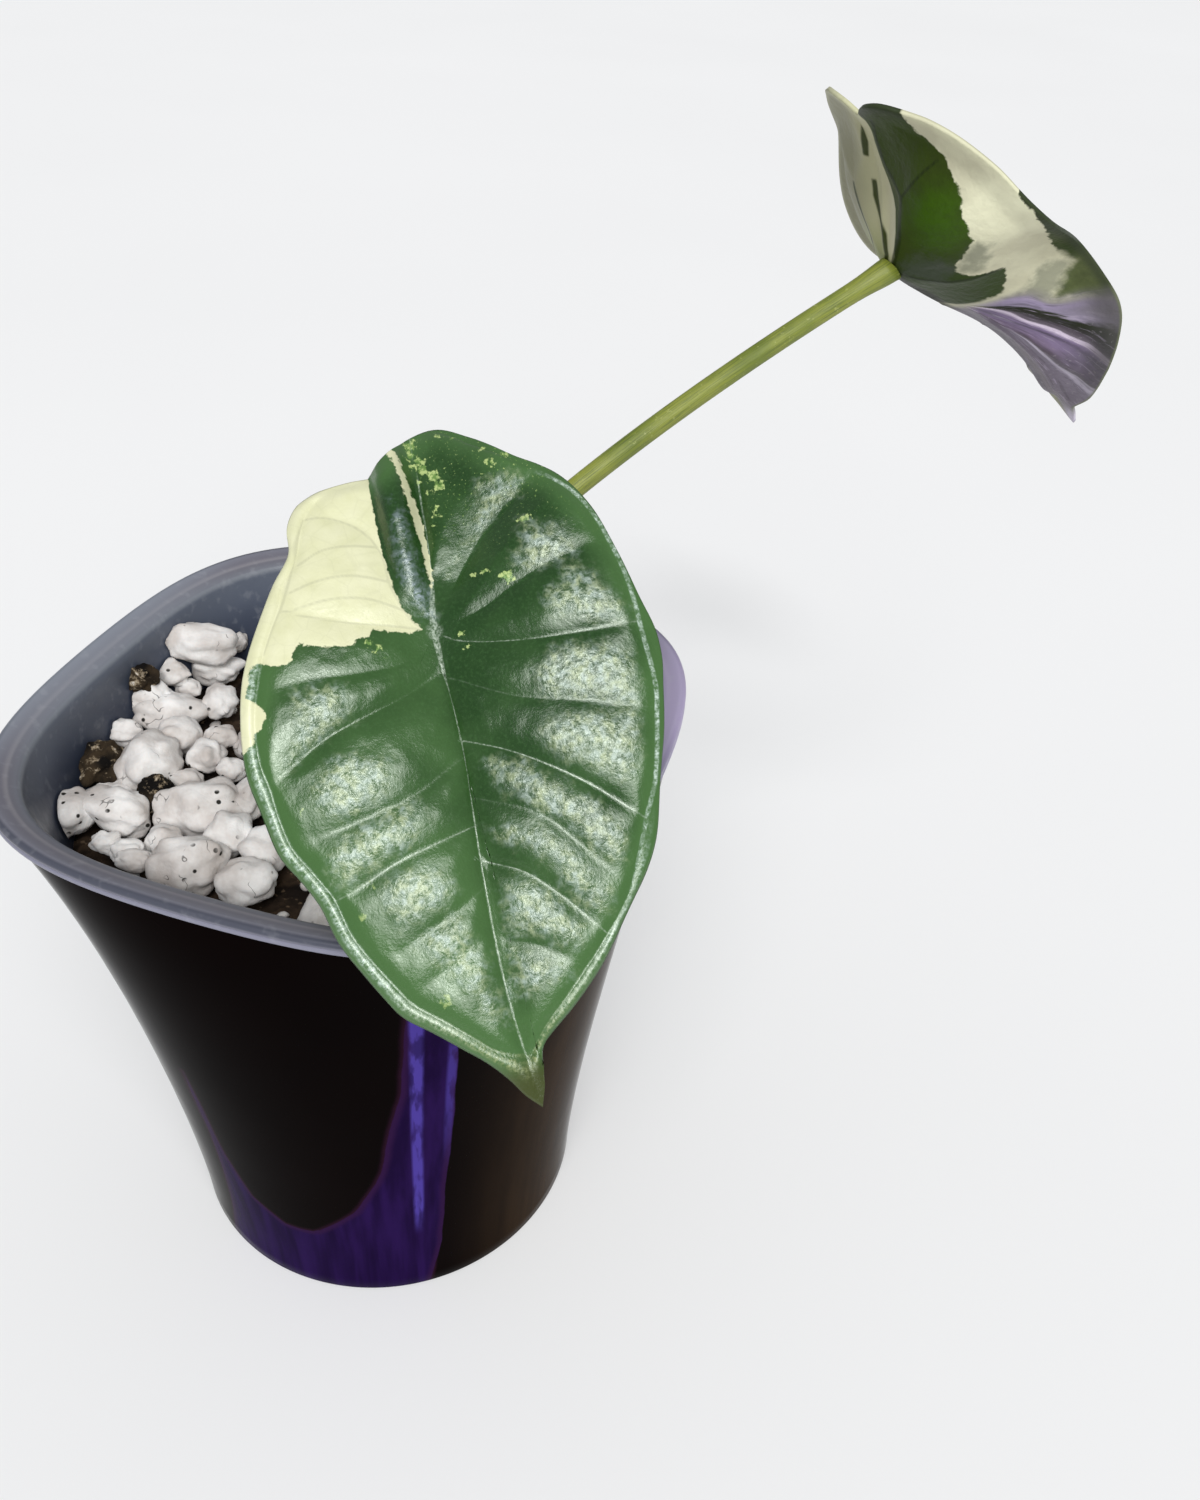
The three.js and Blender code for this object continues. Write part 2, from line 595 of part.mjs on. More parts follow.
function assemble() {
  const group = new THREE.Group();
  group.name = "potted_alocasia";
  const add = (skin, name, look) => group.add(meshFrom(skin, name, look));

  add(outerPotSkin(), "outer_pot", { color: 0x1a1018, roughness: 0.2 });
  add(linerSkin(), "inner_pot", { color: 0x6c7080, roughness: 0.4 });
  add(skinFrom(growingMixSolid()), "growing_mix", { color: 0x2e2620, roughness: 0.95 });
  add(skinFrom(perliteSolid()), "perlite", { color: 0xe9e4de, roughness: 0.9 });

  const front = frontBlade();
  const frontUnder = front.seat.clone().addScaledVector(front.seatNormal, -bladeThickness / 2);
  const frontLine = stalkLine(frontStalkFoot, new THREE.Vector3(1.5, -3.8, 132),
    frontUnder.clone().addScaledVector(front.seatNormal, -24), frontUnder);
  const back = backBlade();
  // The back blade's underside is the side toward the stalk.
  const arrival = new THREE.Vector3(44, 57.8, 164.6);
  const facing = back.seatNormal.dot(back.seat.clone().sub(arrival)) > 0 ? 1 : -1;
  const backNormal = back.seatNormal.clone().multiplyScalar(facing);
  const backUnder = back.seat.clone().addScaledVector(backNormal, -bladeThickness / 2);
  const backLine = stalkLine(backStalkFoot, new THREE.Vector3(1.8, 2.6, 138), arrival, backUnder);

  let crown = solidFrom(skinOverLoops([
    [crownBaseZ, crownRadius - 1], [crownBaseZ + 1, crownRadius], [102, crownRadius],
    [107, crownRadius - 0.8], [110, crownRadius - 2.4], [111.5, crownRadius - 5],
  ].map(([z, radius]) => loopAt(() => radius, z).filter((point, index) => index % 2 === 0))));
  const stalks = [
    ["front_stalk", frontLine, frontUnder, front.seatNormal],
    ["back_stalk", backLine, backUnder, backNormal],
  ];
  for (const [name, line, seat, normal] of stalks) {
    crown = crown.subtract(solidFrom(stalkSkin(line, seat, normal, 0.3)));
    add(stalkSkin(line, seat, normal), name, { color: 0x8a9a3c, roughness: 0.5 });
  }
  add(skinFrom(crown.asOriginal().simplify(0.03)), "crown", { color: 0x6d7a33, roughness: 0.7 });
  add(bladeSkin(front.margin, front.spaceAt, front.seat, front.seatNormal), "front_leaf",
    { color: 0x2f6b33, roughness: 0.35 });
  add(bladeSkin(back.margin, back.spaceAt, back.seat, back.seatNormal), "back_leaf",
    { color: 0x3f7a3a, roughness: 0.45 });
  return group;
}

export default assemble();
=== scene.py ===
import math
import random

import bmesh
import bpy
import numpy as np
from mathutils import Matrix, Vector, noise


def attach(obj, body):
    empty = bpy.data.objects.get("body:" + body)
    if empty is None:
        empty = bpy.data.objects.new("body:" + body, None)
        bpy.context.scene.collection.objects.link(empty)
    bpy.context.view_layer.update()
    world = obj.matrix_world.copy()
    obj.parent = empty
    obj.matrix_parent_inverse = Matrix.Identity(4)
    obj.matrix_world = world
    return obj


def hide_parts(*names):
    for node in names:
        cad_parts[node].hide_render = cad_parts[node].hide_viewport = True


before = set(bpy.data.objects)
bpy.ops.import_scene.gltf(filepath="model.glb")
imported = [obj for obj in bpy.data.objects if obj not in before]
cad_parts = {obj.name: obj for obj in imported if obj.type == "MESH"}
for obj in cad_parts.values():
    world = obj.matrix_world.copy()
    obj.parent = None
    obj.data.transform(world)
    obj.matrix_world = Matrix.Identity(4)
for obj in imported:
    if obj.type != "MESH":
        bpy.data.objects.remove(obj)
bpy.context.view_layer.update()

mm = 0.001


# shared helpers
def smoothStep(edge0, edge1, value):
    t = np.clip((value - edge0) / (edge1 - edge0), 0.0, 1.0)
    return t * t * (3 - 2 * t)


def addObject(name, data):
    made = bpy.data.objects.new(name, data)
    bpy.context.scene.collection.objects.link(made)
    return made


def newPiece(name, bm, materials, replaced=()):
    mesh = bpy.data.meshes.new(name)
    bm.to_mesh(mesh)
    bm.free()
    piece = addObject(name, mesh)
    for material in materials:
        mesh.materials.append(material)
    mesh.polygons.foreach_set("use_smooth", [True] * len(mesh.polygons))
    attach(piece, "root")
    if replaced:
        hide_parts(*replaced)
    return piece


def spotsOf(piece):
    return np.array([vert.co for vert in piece.data.vertices]) / mm


def unit(vector):
    return vector / np.linalg.norm(vector)


def addFloat(mesh, name, values):
    layer = mesh.attributes.new(name, "FLOAT", "POINT")
    layer.data.foreach_set("value", np.asarray(values, dtype=np.float32))


class Paint:
    # a material, and the places where a pattern on it can start
    def __init__(self, name):
        self.material = bpy.data.materials.new(name)
        self.material.use_nodes = True
        self.tree = self.material.node_tree
        self.shader = self.tree.nodes["Principled BSDF"]

    def put(self, socket, value):
        if isinstance(value, Wire):
            self.tree.links.new(value.socket, socket)
        elif socket.type == "RGBA" and len(value) == 3:
            socket.default_value = (*value, 1.0)
        else:
            socket.default_value = value

    def wire(self, kind, output, inputs, **settings):
        # one more node, and the wire that leaves it
        made = self.tree.nodes.new(kind)
        for name, value in settings.items():
            setattr(made, name, value)
        for name, value in inputs.items():
            self.put(made.inputs[name], value)
        return Wire(self, made.outputs[output])

    def coords(self):
        return self.wire("ShaderNodeTexCoord", "Object", {})

    def flat(self):
        return self.wire("ShaderNodeUVMap", "UV", {}, uv_map="flat")

    def value(self, name):
        return self.wire("ShaderNodeAttribute", "Fac", {}, attribute_name=name)

    def math(self, operation, first, second=0.0):
        return self.wire("ShaderNodeMath", 0, {0: first, 1: second}, operation=operation)

    def join(self, x, y):
        return self.wire("ShaderNodeCombineXYZ", 0, {0: x, 1: y})

    def set(self, **values):
        for name, value in values.items():
            self.put(self.shader.inputs[name.replace("_", " ")], value)

    def skin(self, colour, height, strength, distance, **values):
        # the whole finish: colour, relief, and the shader's own values
        relief = {"Strength": strength, "Distance": distance, "Height": height}
        self.set(Base_Color=colour, Normal=self.wire("ShaderNodeBump", "Normal", relief), **values)
        return self.material


class Wire:
    # a value on its way through a material: sums and products of wires become math nodes
    def __init__(self, paint, socket):
        self.paint = paint
        self.socket = socket

    def __add__(self, other):
        return self.paint.math("ADD", self, other)

    def __sub__(self, other):
        return self.paint.math("SUBTRACT", self, other)

    def __rsub__(self, other):
        return self.paint.math("SUBTRACT", other, self)

    def __mul__(self, other):
        return self.paint.math("MULTIPLY", self, other)

    def __abs__(self):
        return self.paint.math("ABSOLUTE", self)

    def stretch(self, scale):
        return self.paint.wire("ShaderNodeMapping", "Vector", {"Vector": self, "Scale": scale})

    def noise(self, scale, detail=2.0, rough=0.5, distortion=0.0):
        return self.paint.wire("ShaderNodeTexNoise", "Fac", {
            "Vector": self, "Scale": scale, "Detail": detail, "Roughness": rough, "Distortion": distortion})

    def cells(self, scale, feature="F1"):
        return self.paint.wire("ShaderNodeTexVoronoi", "Distance", {"Vector": self, "Scale": scale},
                               feature=feature)

    def ramp(self, low, high, toLow=0.0, toHigh=1.0):
        return self.paint.wire("ShaderNodeMapRange", "Result", {
            "Value": self, "From Min": low, "From Max": high, "To Min": toLow, "To Max": toHigh},
            interpolation_type="SMOOTHSTEP")

    def mix(self, first, second):
        # this wire is the share of the second colour
        return self.paint.wire("ShaderNodeMix", 2, {0: self, 6: first, 7: second}, data_type="RGBA")

    def bands(self, stops):
        # tones laid one after another along this wire
        tone = stops[0][1]
        for (start, _), (end, following) in zip(stops, stops[1:]):
            tone = self.ramp(start, end).mix(tone, following)
        return tone

    def away(self, place):
        return self.paint.wire("ShaderNodeVectorMath", "Value", {0: self, 1: place}, operation="DISTANCE")

    def split(self):
        node = self.paint.wire("ShaderNodeSeparateXYZ", 0, {0: self}).socket.node
        return [Wire(self.paint, output) for output in node.outputs]

    def ragged(self, pattern, size):
        # this wire, pushed to and fro by a pattern
        return self + (pattern - 0.5) * size


def most(first, second):
    return first.paint.math("MAXIMUM", first, second)


def over(tone, *layers):
    # colours laid over a tone one after another, each with its share
    for share, colour in layers:
        tone = share.mix(tone, colour)
    return tone


def between(a, b, start, end, t):
    return (end - t) / (end - start) * a + (t - start) / (end - start) * b


def dense(points, count):
    # even steps along a smooth line through the points
    pts = np.array(points, float)
    ends = np.vstack([2 * pts[0] - pts[1], pts, 2 * pts[-1] - pts[-2]])
    line = []
    for k in range(1, len(ends) - 2):
        near = ends[k - 1:k + 3]
        knots = [0.0]
        for step in np.diff(near, axis=0):
            knots.append(knots[-1] + math.sqrt(np.linalg.norm(step)) + 1e-9)
        for t in np.linspace(knots[1], knots[2], 24, endpoint=False):
            first = [between(near[i], near[i + 1], knots[i], knots[i + 1], t) for i in range(3)]
            second = [between(first[i], first[i + 1], knots[i], knots[i + 2], t) for i in range(2)]
            line.append(between(*second, knots[1], knots[2], t))
    line = np.vstack([line, pts[-1:]])
    run = np.r_[0, np.cumsum(np.linalg.norm(np.diff(line, axis=0), axis=1))]
    steps = np.linspace(0, run[-1], count)
    return np.stack([np.interp(steps, run, line[:, axis]) for axis in range(pts.shape[1])], 1)


def lineDistance(points, line):
    # distance to a broken line, and the side: plus is left of its direction
    best = np.full(len(points), 1e9)
    side = np.zeros(len(points))
    for a, b in zip(line[:-1], line[1:]):
        d = b - a
        t = np.clip(((points - a) @ d) / (d @ d), 0, 1)
        off = points - a - t[:, None] * d
        gap = np.hypot(off[:, 0], off[:, 1])
        cross = d[0] * (points[:, 1] - a[1]) - d[1] * (points[:, 0] - a[0])
        closer = gap < best
        best = np.where(closer, gap, best)
        side = np.where(closer, np.sign(cross), side)
    return best, side


def insideShape(points, shape):
    inside = np.zeros(len(points), bool)
    for (ax, ay), (bx, by) in zip(shape, shape[1:] + shape[:1]):
        crosses = (ay > points[:, 1]) != (by > points[:, 1])
        slope = (bx - ax) * (points[:, 1] - ay) / ((by - ay) if by != ay else 1e-9) + ax
        inside ^= crosses & (points[:, 0] < slope)
    return inside


def shapeDepth(points, shapes):
    # how far inside the nearest shape a point lies, minus outside
    depth = np.full(len(points), -1e9)
    for shape in shapes:
        closed = np.array(shape + shape[:1], float)
        gap, _ = lineDistance(points, closed)
        depth = np.maximum(depth, np.where(insideShape(points, shape), gap, -gap))
    return depth


# camera, light, floor
view = {
    "place": (90.902, -166.322, 252.588),
    "right": (0.95106, 0.30494, 0.04997),
    "down": (0.22252, -0.56363, -0.79549),
    "forward": (-0.21441, 0.76768, -0.60390),
    "lens": 31.03,
    "sensorWidth": 36.0,
    "nearest": 0.01,
    "skyColour": (0.95, 0.97, 1.0, 1.0),
    "worldLight": 0.36,
    "floorSize": 4.0,
    "floorTones": [(0.84, 0.84, 0.84), (0.88, 0.88, 0.88)],
    "sunFrom": (0.288, -0.646, 0.707),
    # strength and spread in degrees: a broad window and its brighter middle
    "suns": [(2.35, 44.0), (0.75, 10.0)],
}


def addCamera():
    data = bpy.data.cameras.new("camera")
    data.lens = view["lens"]
    data.sensor_width = view["sensorWidth"]
    data.clip_start = view["nearest"]
    camera = addObject("camera", data)
    right, down, forward = (Vector(view[key]) for key in ("right", "down", "forward"))
    turn = Matrix((right, -down, -forward)).transposed().to_4x4()
    camera.matrix_world = Matrix.Translation(Vector(view["place"]) * mm) @ turn
    bpy.context.scene.camera = camera


def addSuns():
    for index, (strength, spread) in enumerate(view["suns"]):
        data = bpy.data.lights.new(f"windowLight{index}", "SUN")
        data.energy = strength
        data.angle = math.radians(spread)
        light = addObject(f"windowLight{index}", data)
        light.matrix_world = Vector(view["sunFrom"]).to_track_quat("Z", "Y").to_matrix().to_4x4()


def addStudio():
    addCamera()
    addSuns()
    world = bpy.data.worlds.new("studio")
    world.use_nodes = True
    background = world.node_tree.nodes["Background"]
    background.inputs["Color"].default_value = view["skyColour"]
    background.inputs["Strength"].default_value = view["worldLight"]
    bpy.context.scene.world = world
    bpy.context.scene.view_settings.view_transform = "Standard"

    bm = bmesh.new()
    bmesh.ops.create_grid(bm, x_segments=8, y_segments=8, size=view["floorSize"])
    mesh = bpy.data.meshes.new("floor")
    bm.to_mesh(mesh)
    bm.free()
    floor = addObject("floor", mesh)
    paint = Paint("floorPaint")
    paint.set(Base_Color=paint.coords().noise(3).mix(*view["floorTones"]), Roughness=0.85)
    mesh.materials.append(paint.material)
    print("studio ready")


addStudio()


# pots
pots = {
    "segments": 192,
    "footRadius": 40.8,
    "wallTopRadius": 57.3,
    "wallTop": 116.8,
    "wallCurve": 1.43,
    "cornerOnset": 5.5,
    "cornerShare": 0.058,
    "cornerFine": 0.003,
    "potWall": 1.6,
    "lipRadius": 58.2,
    "clearance": 0.4,
    "linerWall": 1,
    "linerNeck": 1.3,
    "linerFloor": 22,
    # the outer pot's rings: height, then how far inside the wall's outline; the wall's from, to and number
    "foot": [(0, 2.2), (0, 1), (0.3, 0.35), (1, 0)],
    "wallRings": (4, 116, 30),
    "rimAndInside": [(116.9, 0), (117.2, 0.25), (117.2, 1.6), (112, 1.6), (104, 1.6), (84, 1.6), (56, 1.6),
                     (28, 1.6), (6, 1.6), (3, 3.6)],
    # the inner pot's ring heights, outside and inside, and its lip: skirt, groove, rounded bead, sloping
    # flange; each ring of the lip says how far inside its outline it lies, then its height
    "linerOutside": (24, 28, 56, 84, 104, 112, 117.2),
    "lip": [
        (0.5, 117.2), (0.5, 116.8), (0.12, 116.8), (0, 116.95), (0, 117.55), (0.22, 117.65), (0.22, 117.8),
        (0.02, 117.9), (0, 118.4), (0.12, 118.75), (0.45, 118.96), (0.9, 119), (1.4, 118.95),
        (1.75, 118.78), (2.2, 118.64), (3.6, 118.05), (4.7, 117.6), (5.2, 117.3), (5.5, 116.8), (5.7, 116),
        (5.85, 114.8),
    ],
    "linerInside": (112, 110, 108, 106, 104, 100, 96, 90, 84, 70, 56, 40, 28),
    "wrapRadius": 50,
    # outline of the painted violet reflection: millimetres round the wall, wrapped at that radius from +X,
    # then height
    "violetReflection": [
        (-50.6, 120), (-50.4, 94.5), (-51.7, 74), (-56.8, 44.8), (-62.2, 32.2), (-73, 21.7), (-80.7, 21.3),
        (-88.8, 27.1), (-93.7, 39.2), (-94.8, 66.3), (-96, 66.3), (-96.4, 36), (-99, 18), (-104, -2),
        (-47.3, -2), (-43.6, 15.2), (-41.9, 62.2), (-42.2, 88.2), (-42.2, 120),
    ],
}


def squareness(angle, share):
    turned = angle - math.pi / 4
    return 1 + share * (pots["cornerShare"] * np.cos(4 * turned) + pots["cornerFine"] * np.cos(8 * turned))


def wallRadius(angle, z):
    t = min(1.0, max(0.0, z / pots["wallTop"]))
    mean = pots["footRadius"] + (pots["wallTopRadius"] - pots["footRadius"]) * t ** pots["wallCurve"]
    return mean * squareness(angle, t ** pots["cornerOnset"])


def wallLoop(z, inset=0.0):
    return lambda angle: (wallRadius(angle, z) - inset, z)


def lipLoop(inset, z):
    return lambda angle: (pots["lipRadius"] * squareness(angle, 1.0) - inset, z)


def raiseRing(bm, ring):
    # extrudes a ring's edges and gives back the new ring in the same order
    edges = [bm.edges.get((ring[k], ring[(k + 1) % len(ring)])) for k in range(len(ring))]
    made = bmesh.ops.extrude_edge_only(bm, edges=edges)["geom"]
    old = set(ring)
    raised = {e.other_vert(v): v for v in made if isinstance(v, bmesh.types.BMVert)
              for e in v.link_edges if e.other_vert(v) in old}
    return [raised[vert] for vert in ring]


def raiseWall(bm, loops, segments):
    # a circle is capped, then extruded from loop to loop, and the last loop is capped too
    ring = bmesh.ops.create_circle(bm, segments=segments, radius=1.0)["verts"]
    for index, loop in enumerate(loops):
        if index:
            ring = raiseRing(bm, ring)
        for k, vert in enumerate(ring):
            angle = 2 * math.pi * k / segments
            radius, z = loop(angle)
            vert.co = (radius * math.cos(angle) * mm, radius * math.sin(angle) * mm, z * mm)
        if index == 0:
            bmesh.ops.contextual_create(bm, geom=ring)
    bmesh.ops.contextual_create(bm, geom=ring)
    bmesh.ops.recalc_face_normals(bm, faces=bm.faces)


def linerInset(z):
    # how far the liner's inner face lies inside the pot's outer face
    wall = pots["potWall"] + pots["clearance"] + pots["linerWall"]
    return wall + pots["linerNeck"] * float(smoothStep(90, 113, z))


def potPaint():
    paint = Paint("potGloss")
    coords = paint.coords()
    x, y, z = coords.split()
    waver = coords.noise(18, 3)
    around = paint.math("ARCTAN2", y, x) * pots["wrapRadius"]
    depth = paint.value("violetReflection").ragged(coords.noise(90, 3), 1.2)
    # black glaze, and a painted reflection of wood-brown with fine upright grain, to the right of the violet
    # reflection
    reflectedGrain = coords.stretch((260, 260, 7)).noise(1, 4, 0.6)
    brownReflectionShare = most(around.ramp(-44, -8) * around.ramp(30, 62, 1, 0),
                      around.ramp(-122, -112, 1, 0) * z.ramp(0.07, 0.105))
    brownReflectionShare = brownReflectionShare * around.ramp(-156, -134) * waver.ramp(0.2, 0.7, 0.5, 1)
    brownReflectionTone = reflectedGrain.mix((0.013, 0.007, 0.003), (0.046, 0.025, 0.011))
    blackTone = waver.mix((0.0004, 0.0002, 0.0002), (0.0034, 0.0012, 0.001))
    # painted reflection: violet, dusky red along its border, with bright upright streaks
    streaks = coords.stretch((330, 330, 5)).noise(1, 3)
    violetReflectionTone = streaks.ramp(0.35, 0.7).mix((0.008, 0.002, 0.026), (0.017, 0.005, 0.054))
    reflectionHem = depth.ramp(-1.4, 0.1).mix(blackTone, (0.016, 0.004, 0.012))
    violetReflectionTone = depth.ramp(0.3, 1.9).mix((0.022, 0.006, 0.038), violetReflectionTone)
    broken = coords.stretch((500, 500, 60)).noise(1, 3).ramp(0.38, 0.58)
    # painted highlights: two bright upright streaks in the violet reflection
    streak = most(abs(around + 48.9).ramp(0.45, 1.5, 1, 0) * z.ramp(0.02, 0.032),
                  abs(around + 42.9).ramp(0.4, 1.2, 0.5, 0) * z.ramp(0.04, 0.075))
    violetReflectionTone = (streak * (broken + 0.35)).mix(violetReflectionTone, (0.062, 0.04, 0.26))
    reflectionHemShare = depth.ramp(-1.5, -0.2) * (1 - around.ramp(-45.5, -44.5))
    colour = over(blackTone, (brownReflectionShare, brownReflectionTone), (reflectionHemShare, reflectionHem), (depth.ramp(-0.15, 0.15), violetReflectionTone))
    return paint.skin(colour, coords.noise(30), 0.1, 0.0015, Specular_IOR_Level=0.004,
                      Roughness=coords.noise(140, 4).ramp(0.3, 0.7, 0.08, 0.14))


def linerPaint():
    paint = Paint("linerPlastic")
    coords = paint.coords()
    x, y, z = coords.split()
    inset = paint.value("inset")
    cloud = coords.noise(45, 4)
    haze = coords.noise(500)
    # slate wall, with painted light: paler toward the lip, where light comes through
    deep = cloud.mix((0.034, 0.043, 0.071), (0.054, 0.066, 0.098))
    high = cloud.mix((0.098, 0.115, 0.152), (0.135, 0.152, 0.192))
    wall = z.ramp(0.106, 0.1175).mix(deep, high)
    # the lip seen from above, in bands of painted light and shade: dark groove on the edge, grey slope, pale
    # inner edge
    lip = inset.bands((
        (-0.2, (0.062, 0.066, 0.09)), (0.55, (0.066, 0.07, 0.094)), (1.2, (0.165, 0.165, 0.2)),
        (2.6, (0.145, 0.141, 0.17)), (3.4, (0.205, 0.197, 0.22)), (3.9, (0.14, 0.139, 0.165)),
        (4.9, (0.15, 0.155, 0.183)), (5.4, (0.185, 0.2, 0.23))))
    # painted light over the lip: paler on the left and on the outer skirt, and painted violet light on the
    # right corner
    colour = over(
        lip, (x.ramp(-0.058, -0.044, 0.85, 0), (0.25, 0.275, 0.32)),
        (z.ramp(0.1178, 0.1185, 1, 0) * inset.ramp(0.3, 0.8, 1, 0), (0.205, 0.205, 0.265)),
        (x.ramp(0.035, 0.055) * y.ramp(-0.01, 0.02) * 0.8, (0.47, 0.4, 0.61)),
        (inset.ramp(5.3, 6.2), wall), (haze.ramp(0.55, 0.75, 0, 0.12), (0.42, 0.43, 0.46)))
    return paint.skin(colour, coords.noise(120, 3), 0.12, 0.0006,
                      Roughness=haze.ramp(0.3, 0.7, 0.32, 0.44), Specular_IOR_Level=0.3)


def addPots():
    floorIn = pots["linerFloor"]
    bm = bmesh.new()
    rings = pots["foot"] + [(z, 0) for z in np.linspace(*pots["wallRings"])] + pots["rimAndInside"]
    raiseWall(bm, [wallLoop(z, inset) for z, inset in rings], pots["segments"])
    pot = newPiece("outerPot", bm, [potPaint()], ["outer_pot"])
    x, y, z = spotsOf(pot).T
    wrapped = np.stack([pots["wrapRadius"] * np.arctan2(y, x), z], 1)
    addFloat(pot.data, "violetReflection", shapeDepth(wrapped, [pots["violetReflection"]]))

    outside = pots["potWall"] + pots["clearance"]
    bm = bmesh.new()
    loops = [wallLoop(floorIn, outside + 2)]
    loops += [wallLoop(z, outside) for z in pots["linerOutside"]]
    loops += [lipLoop(inset, z) for inset, z in pots["lip"]]
    loops += [wallLoop(z, linerInset(z)) for z in pots["linerInside"]]
    loops += [lambda a: (wallRadius(a, floorIn) - linerInset(floorIn) - 2, floorIn + pots["linerWall"])]
    raiseWall(bm, loops, pots["segments"])
    liner = newPiece("innerPot", bm, [linerPaint()], ["inner_pot"])
    x, y, z = spotsOf(liner).T
    inset = pots["lipRadius"] * squareness(np.arctan2(y, x), 1.0) - np.hypot(x, y)
    addFloat(liner.data, "inset", np.where(z < 116.0, np.maximum(inset, 6.3), inset))
    print("pots ready")


addPots()


# growing mix and perlite
# each lump: x, y, z, half length, half width, turn in degrees
substrate = {
    "mixTop": 98.5,
    "seed": 11,
    # drawn lumps and crumbs: number, then from and to
    "scatter": 46,
    "tries": 9000,
    "lumpLengths": (3, 6.8),
    "lumpHeights": (100.5, 102.5),
    "lumpSpread": 47,
    "packing": 0.74,
    # a drawn lump keeps off the crown and the inner pot: distance, and the share of its length that counts
    "offCrown": (9.5, 0.7),
    "offPot": (50, 0.6),
    "crumbs": 150,
    "crumbLengths": (0.8, 2.1),
    "crumbHeights": (99.2, 100.6),
    "crumbSpread": (10.5, 47.5),
    # no lump reaches lower than this under the mix, nor nearer than this to the inner pot
    "sink": 0.6,
    "wallRoom": 0.4,
    # from this distance on, with this share of its length, a lump is held off the inner pot's wall
    "nearWall": (46, 1.4),
    "mixRoom": 0.3,
    "mixFloor": 23,
    "mixRings": (28, 56, 84, 98.2),
    "topShares": (0.97, 0.9, 0.8, 0.68, 0.55, 0.42, 0.3, 0.19),
    # waves in the mix's top: level, height, scale, seed
    "topWaves": (98.6, 0.9, 9, 1.7),
    "whiteLumps": [
        (-45.2, 18.4, 110.6, 7.4, 4, 18), (-43.2, 20.4, 103.6, 4.7, 3.4, 18),
        (-48.2, 12.4, 106.6, 4.3, 2.6, -7), (-48.2, 4.4, 105.6, 5.5, 3.3, 10),
        (-43.2, 4.4, 103.6, 6.7, 3.7, 23), (-36.2, 10.4, 103.6, 3.1, 4.2, 18),
        (-47.2, -4.6, 103.6, 3.5, 2.4, 18), (-37.2, -2.6, 103.6, 4.6, 3.8, 18),
        (-37.2, -11.6, 103.6, 5.4, 6, 18), (-29.2, -5.6, 103.6, 3.1, 3.1, 18),
        (-30.2, 0.4, 103.6, 2.9, 2.4, 18), (-42.2, -27.6, 103.6, 3.9, 4.7, 18),
        (-35.2, -24.6, 103.6, 6.5, 4.1, -15), (-22.2, -18.6, 103.6, 7.7, 5.2, 26),
        (-16.2, -13.6, 103.6, 2.7, 4.8, 18), (-14.2, -23.6, 103.6, 4.4, 4, 33),
        (-23.2, -28.6, 103.6, 3, 3, 18), (-16.2, -32.6, 103.6, 6.2, 4.7, 18),
        (-6.2, -24.6, 103.6, 4.1, 4.1, 18), (-5.2, -32.6, 103.6, 4.5, 3.7, 18),
        (-28.2, -32.6, 103.1, 2.8, 2.2, 18), (-44.2, 12.4, 103.6, 2.5, 2, 18),
        (-23.2, -7.6, 103.6, 2.4, 2.2, 18), (-32.2, -32.6, 103.6, 2.5, 1.9, 18),
        (-25.2, -34.6, 103.6, 3.2, 2, 18), (-43.2, 29.4, 104.6, 2, 2.2, 18),
    ],
    "darkLumps": [
        (-49.2, 4.4, 109.6, 2.8, 2.6, 18), (-45.7, -14.6, 103.6, 3.8, 4.6, 18),
        (-31.4, -19, 104.8, 2.7, 2.9, 48), (22, 30, 102, 4.5, 3.6, 40), (38, -14, 101.5, 3.6, 3.2, 10),
        (1.8, 38.4, 103.1, 4.2, 3.4, 70),
    ],
}


def insideRadius(angle, z):
    return wallRadius(angle, z) - linerInset(z) - substrate["wallRoom"]


def addLump(heap, lump, detail, seed, rough=1.0):
    x, y, z, along, across, degrees = lump
    bm = bmesh.new()
    bmesh.ops.create_icosphere(bm, subdivisions=detail, radius=1.0)
    drift = Vector((seed * 7.31, seed * 3.17, seed * 5.73))
    height = min(along, across) * 0.95
    for vert in bm.verts:
        at = vert.co.copy()
        # round swellings with creases between them, as popped grains have
        popped = (math.hypot(noise.noise(at * 1.2 + drift), 0.06)
                  + 0.4 * math.hypot(noise.noise(at * 2.6 - drift), 0.05))
        swell = 0.88 + rough * (0.50 * popped + 0.18 * noise.noise(at * 0.9 - drift)
                                + 0.02 * noise.noise(at * 7.0 + drift))
        vert.co = at * swell
    shape = (Matrix.Translation(Vector((x, y, z)) * mm) @ Matrix.Rotation(math.radians(degrees), 4, "Z")
             @ Matrix.Diagonal((along * mm, across * mm, height * mm, 1.0)))
    bmesh.ops.transform(bm, matrix=shape, verts=bm.verts)
    bmesh.ops.smooth_vert(bm, verts=bm.verts, factor=0.35, use_axis_x=True, use_axis_y=True, use_axis_z=True)
    lowest = (substrate["mixTop"] - substrate["sink"]) * mm
    wallStart, lengthShare = substrate["nearWall"]
    nearWall = math.hypot(x, y) + lengthShare * along > wallStart
    for vert in bm.verts:
        if nearWall:
            # nothing pokes through the pot's wall
            reach = math.hypot(vert.co.x, vert.co.y) / mm
            limit = insideRadius(math.atan2(vert.co.y, vert.co.x), vert.co.z / mm)
            if reach > limit:
                vert.co.x *= limit / reach
                vert.co.y *= limit / reach
        vert.co.z = max(vert.co.z, lowest)
    lumpMesh = bpy.data.meshes.new("lump")
    bm.to_mesh(lumpMesh)
    bm.free()
    heap.from_mesh(lumpMesh)
    bpy.data.meshes.remove(lumpMesh)


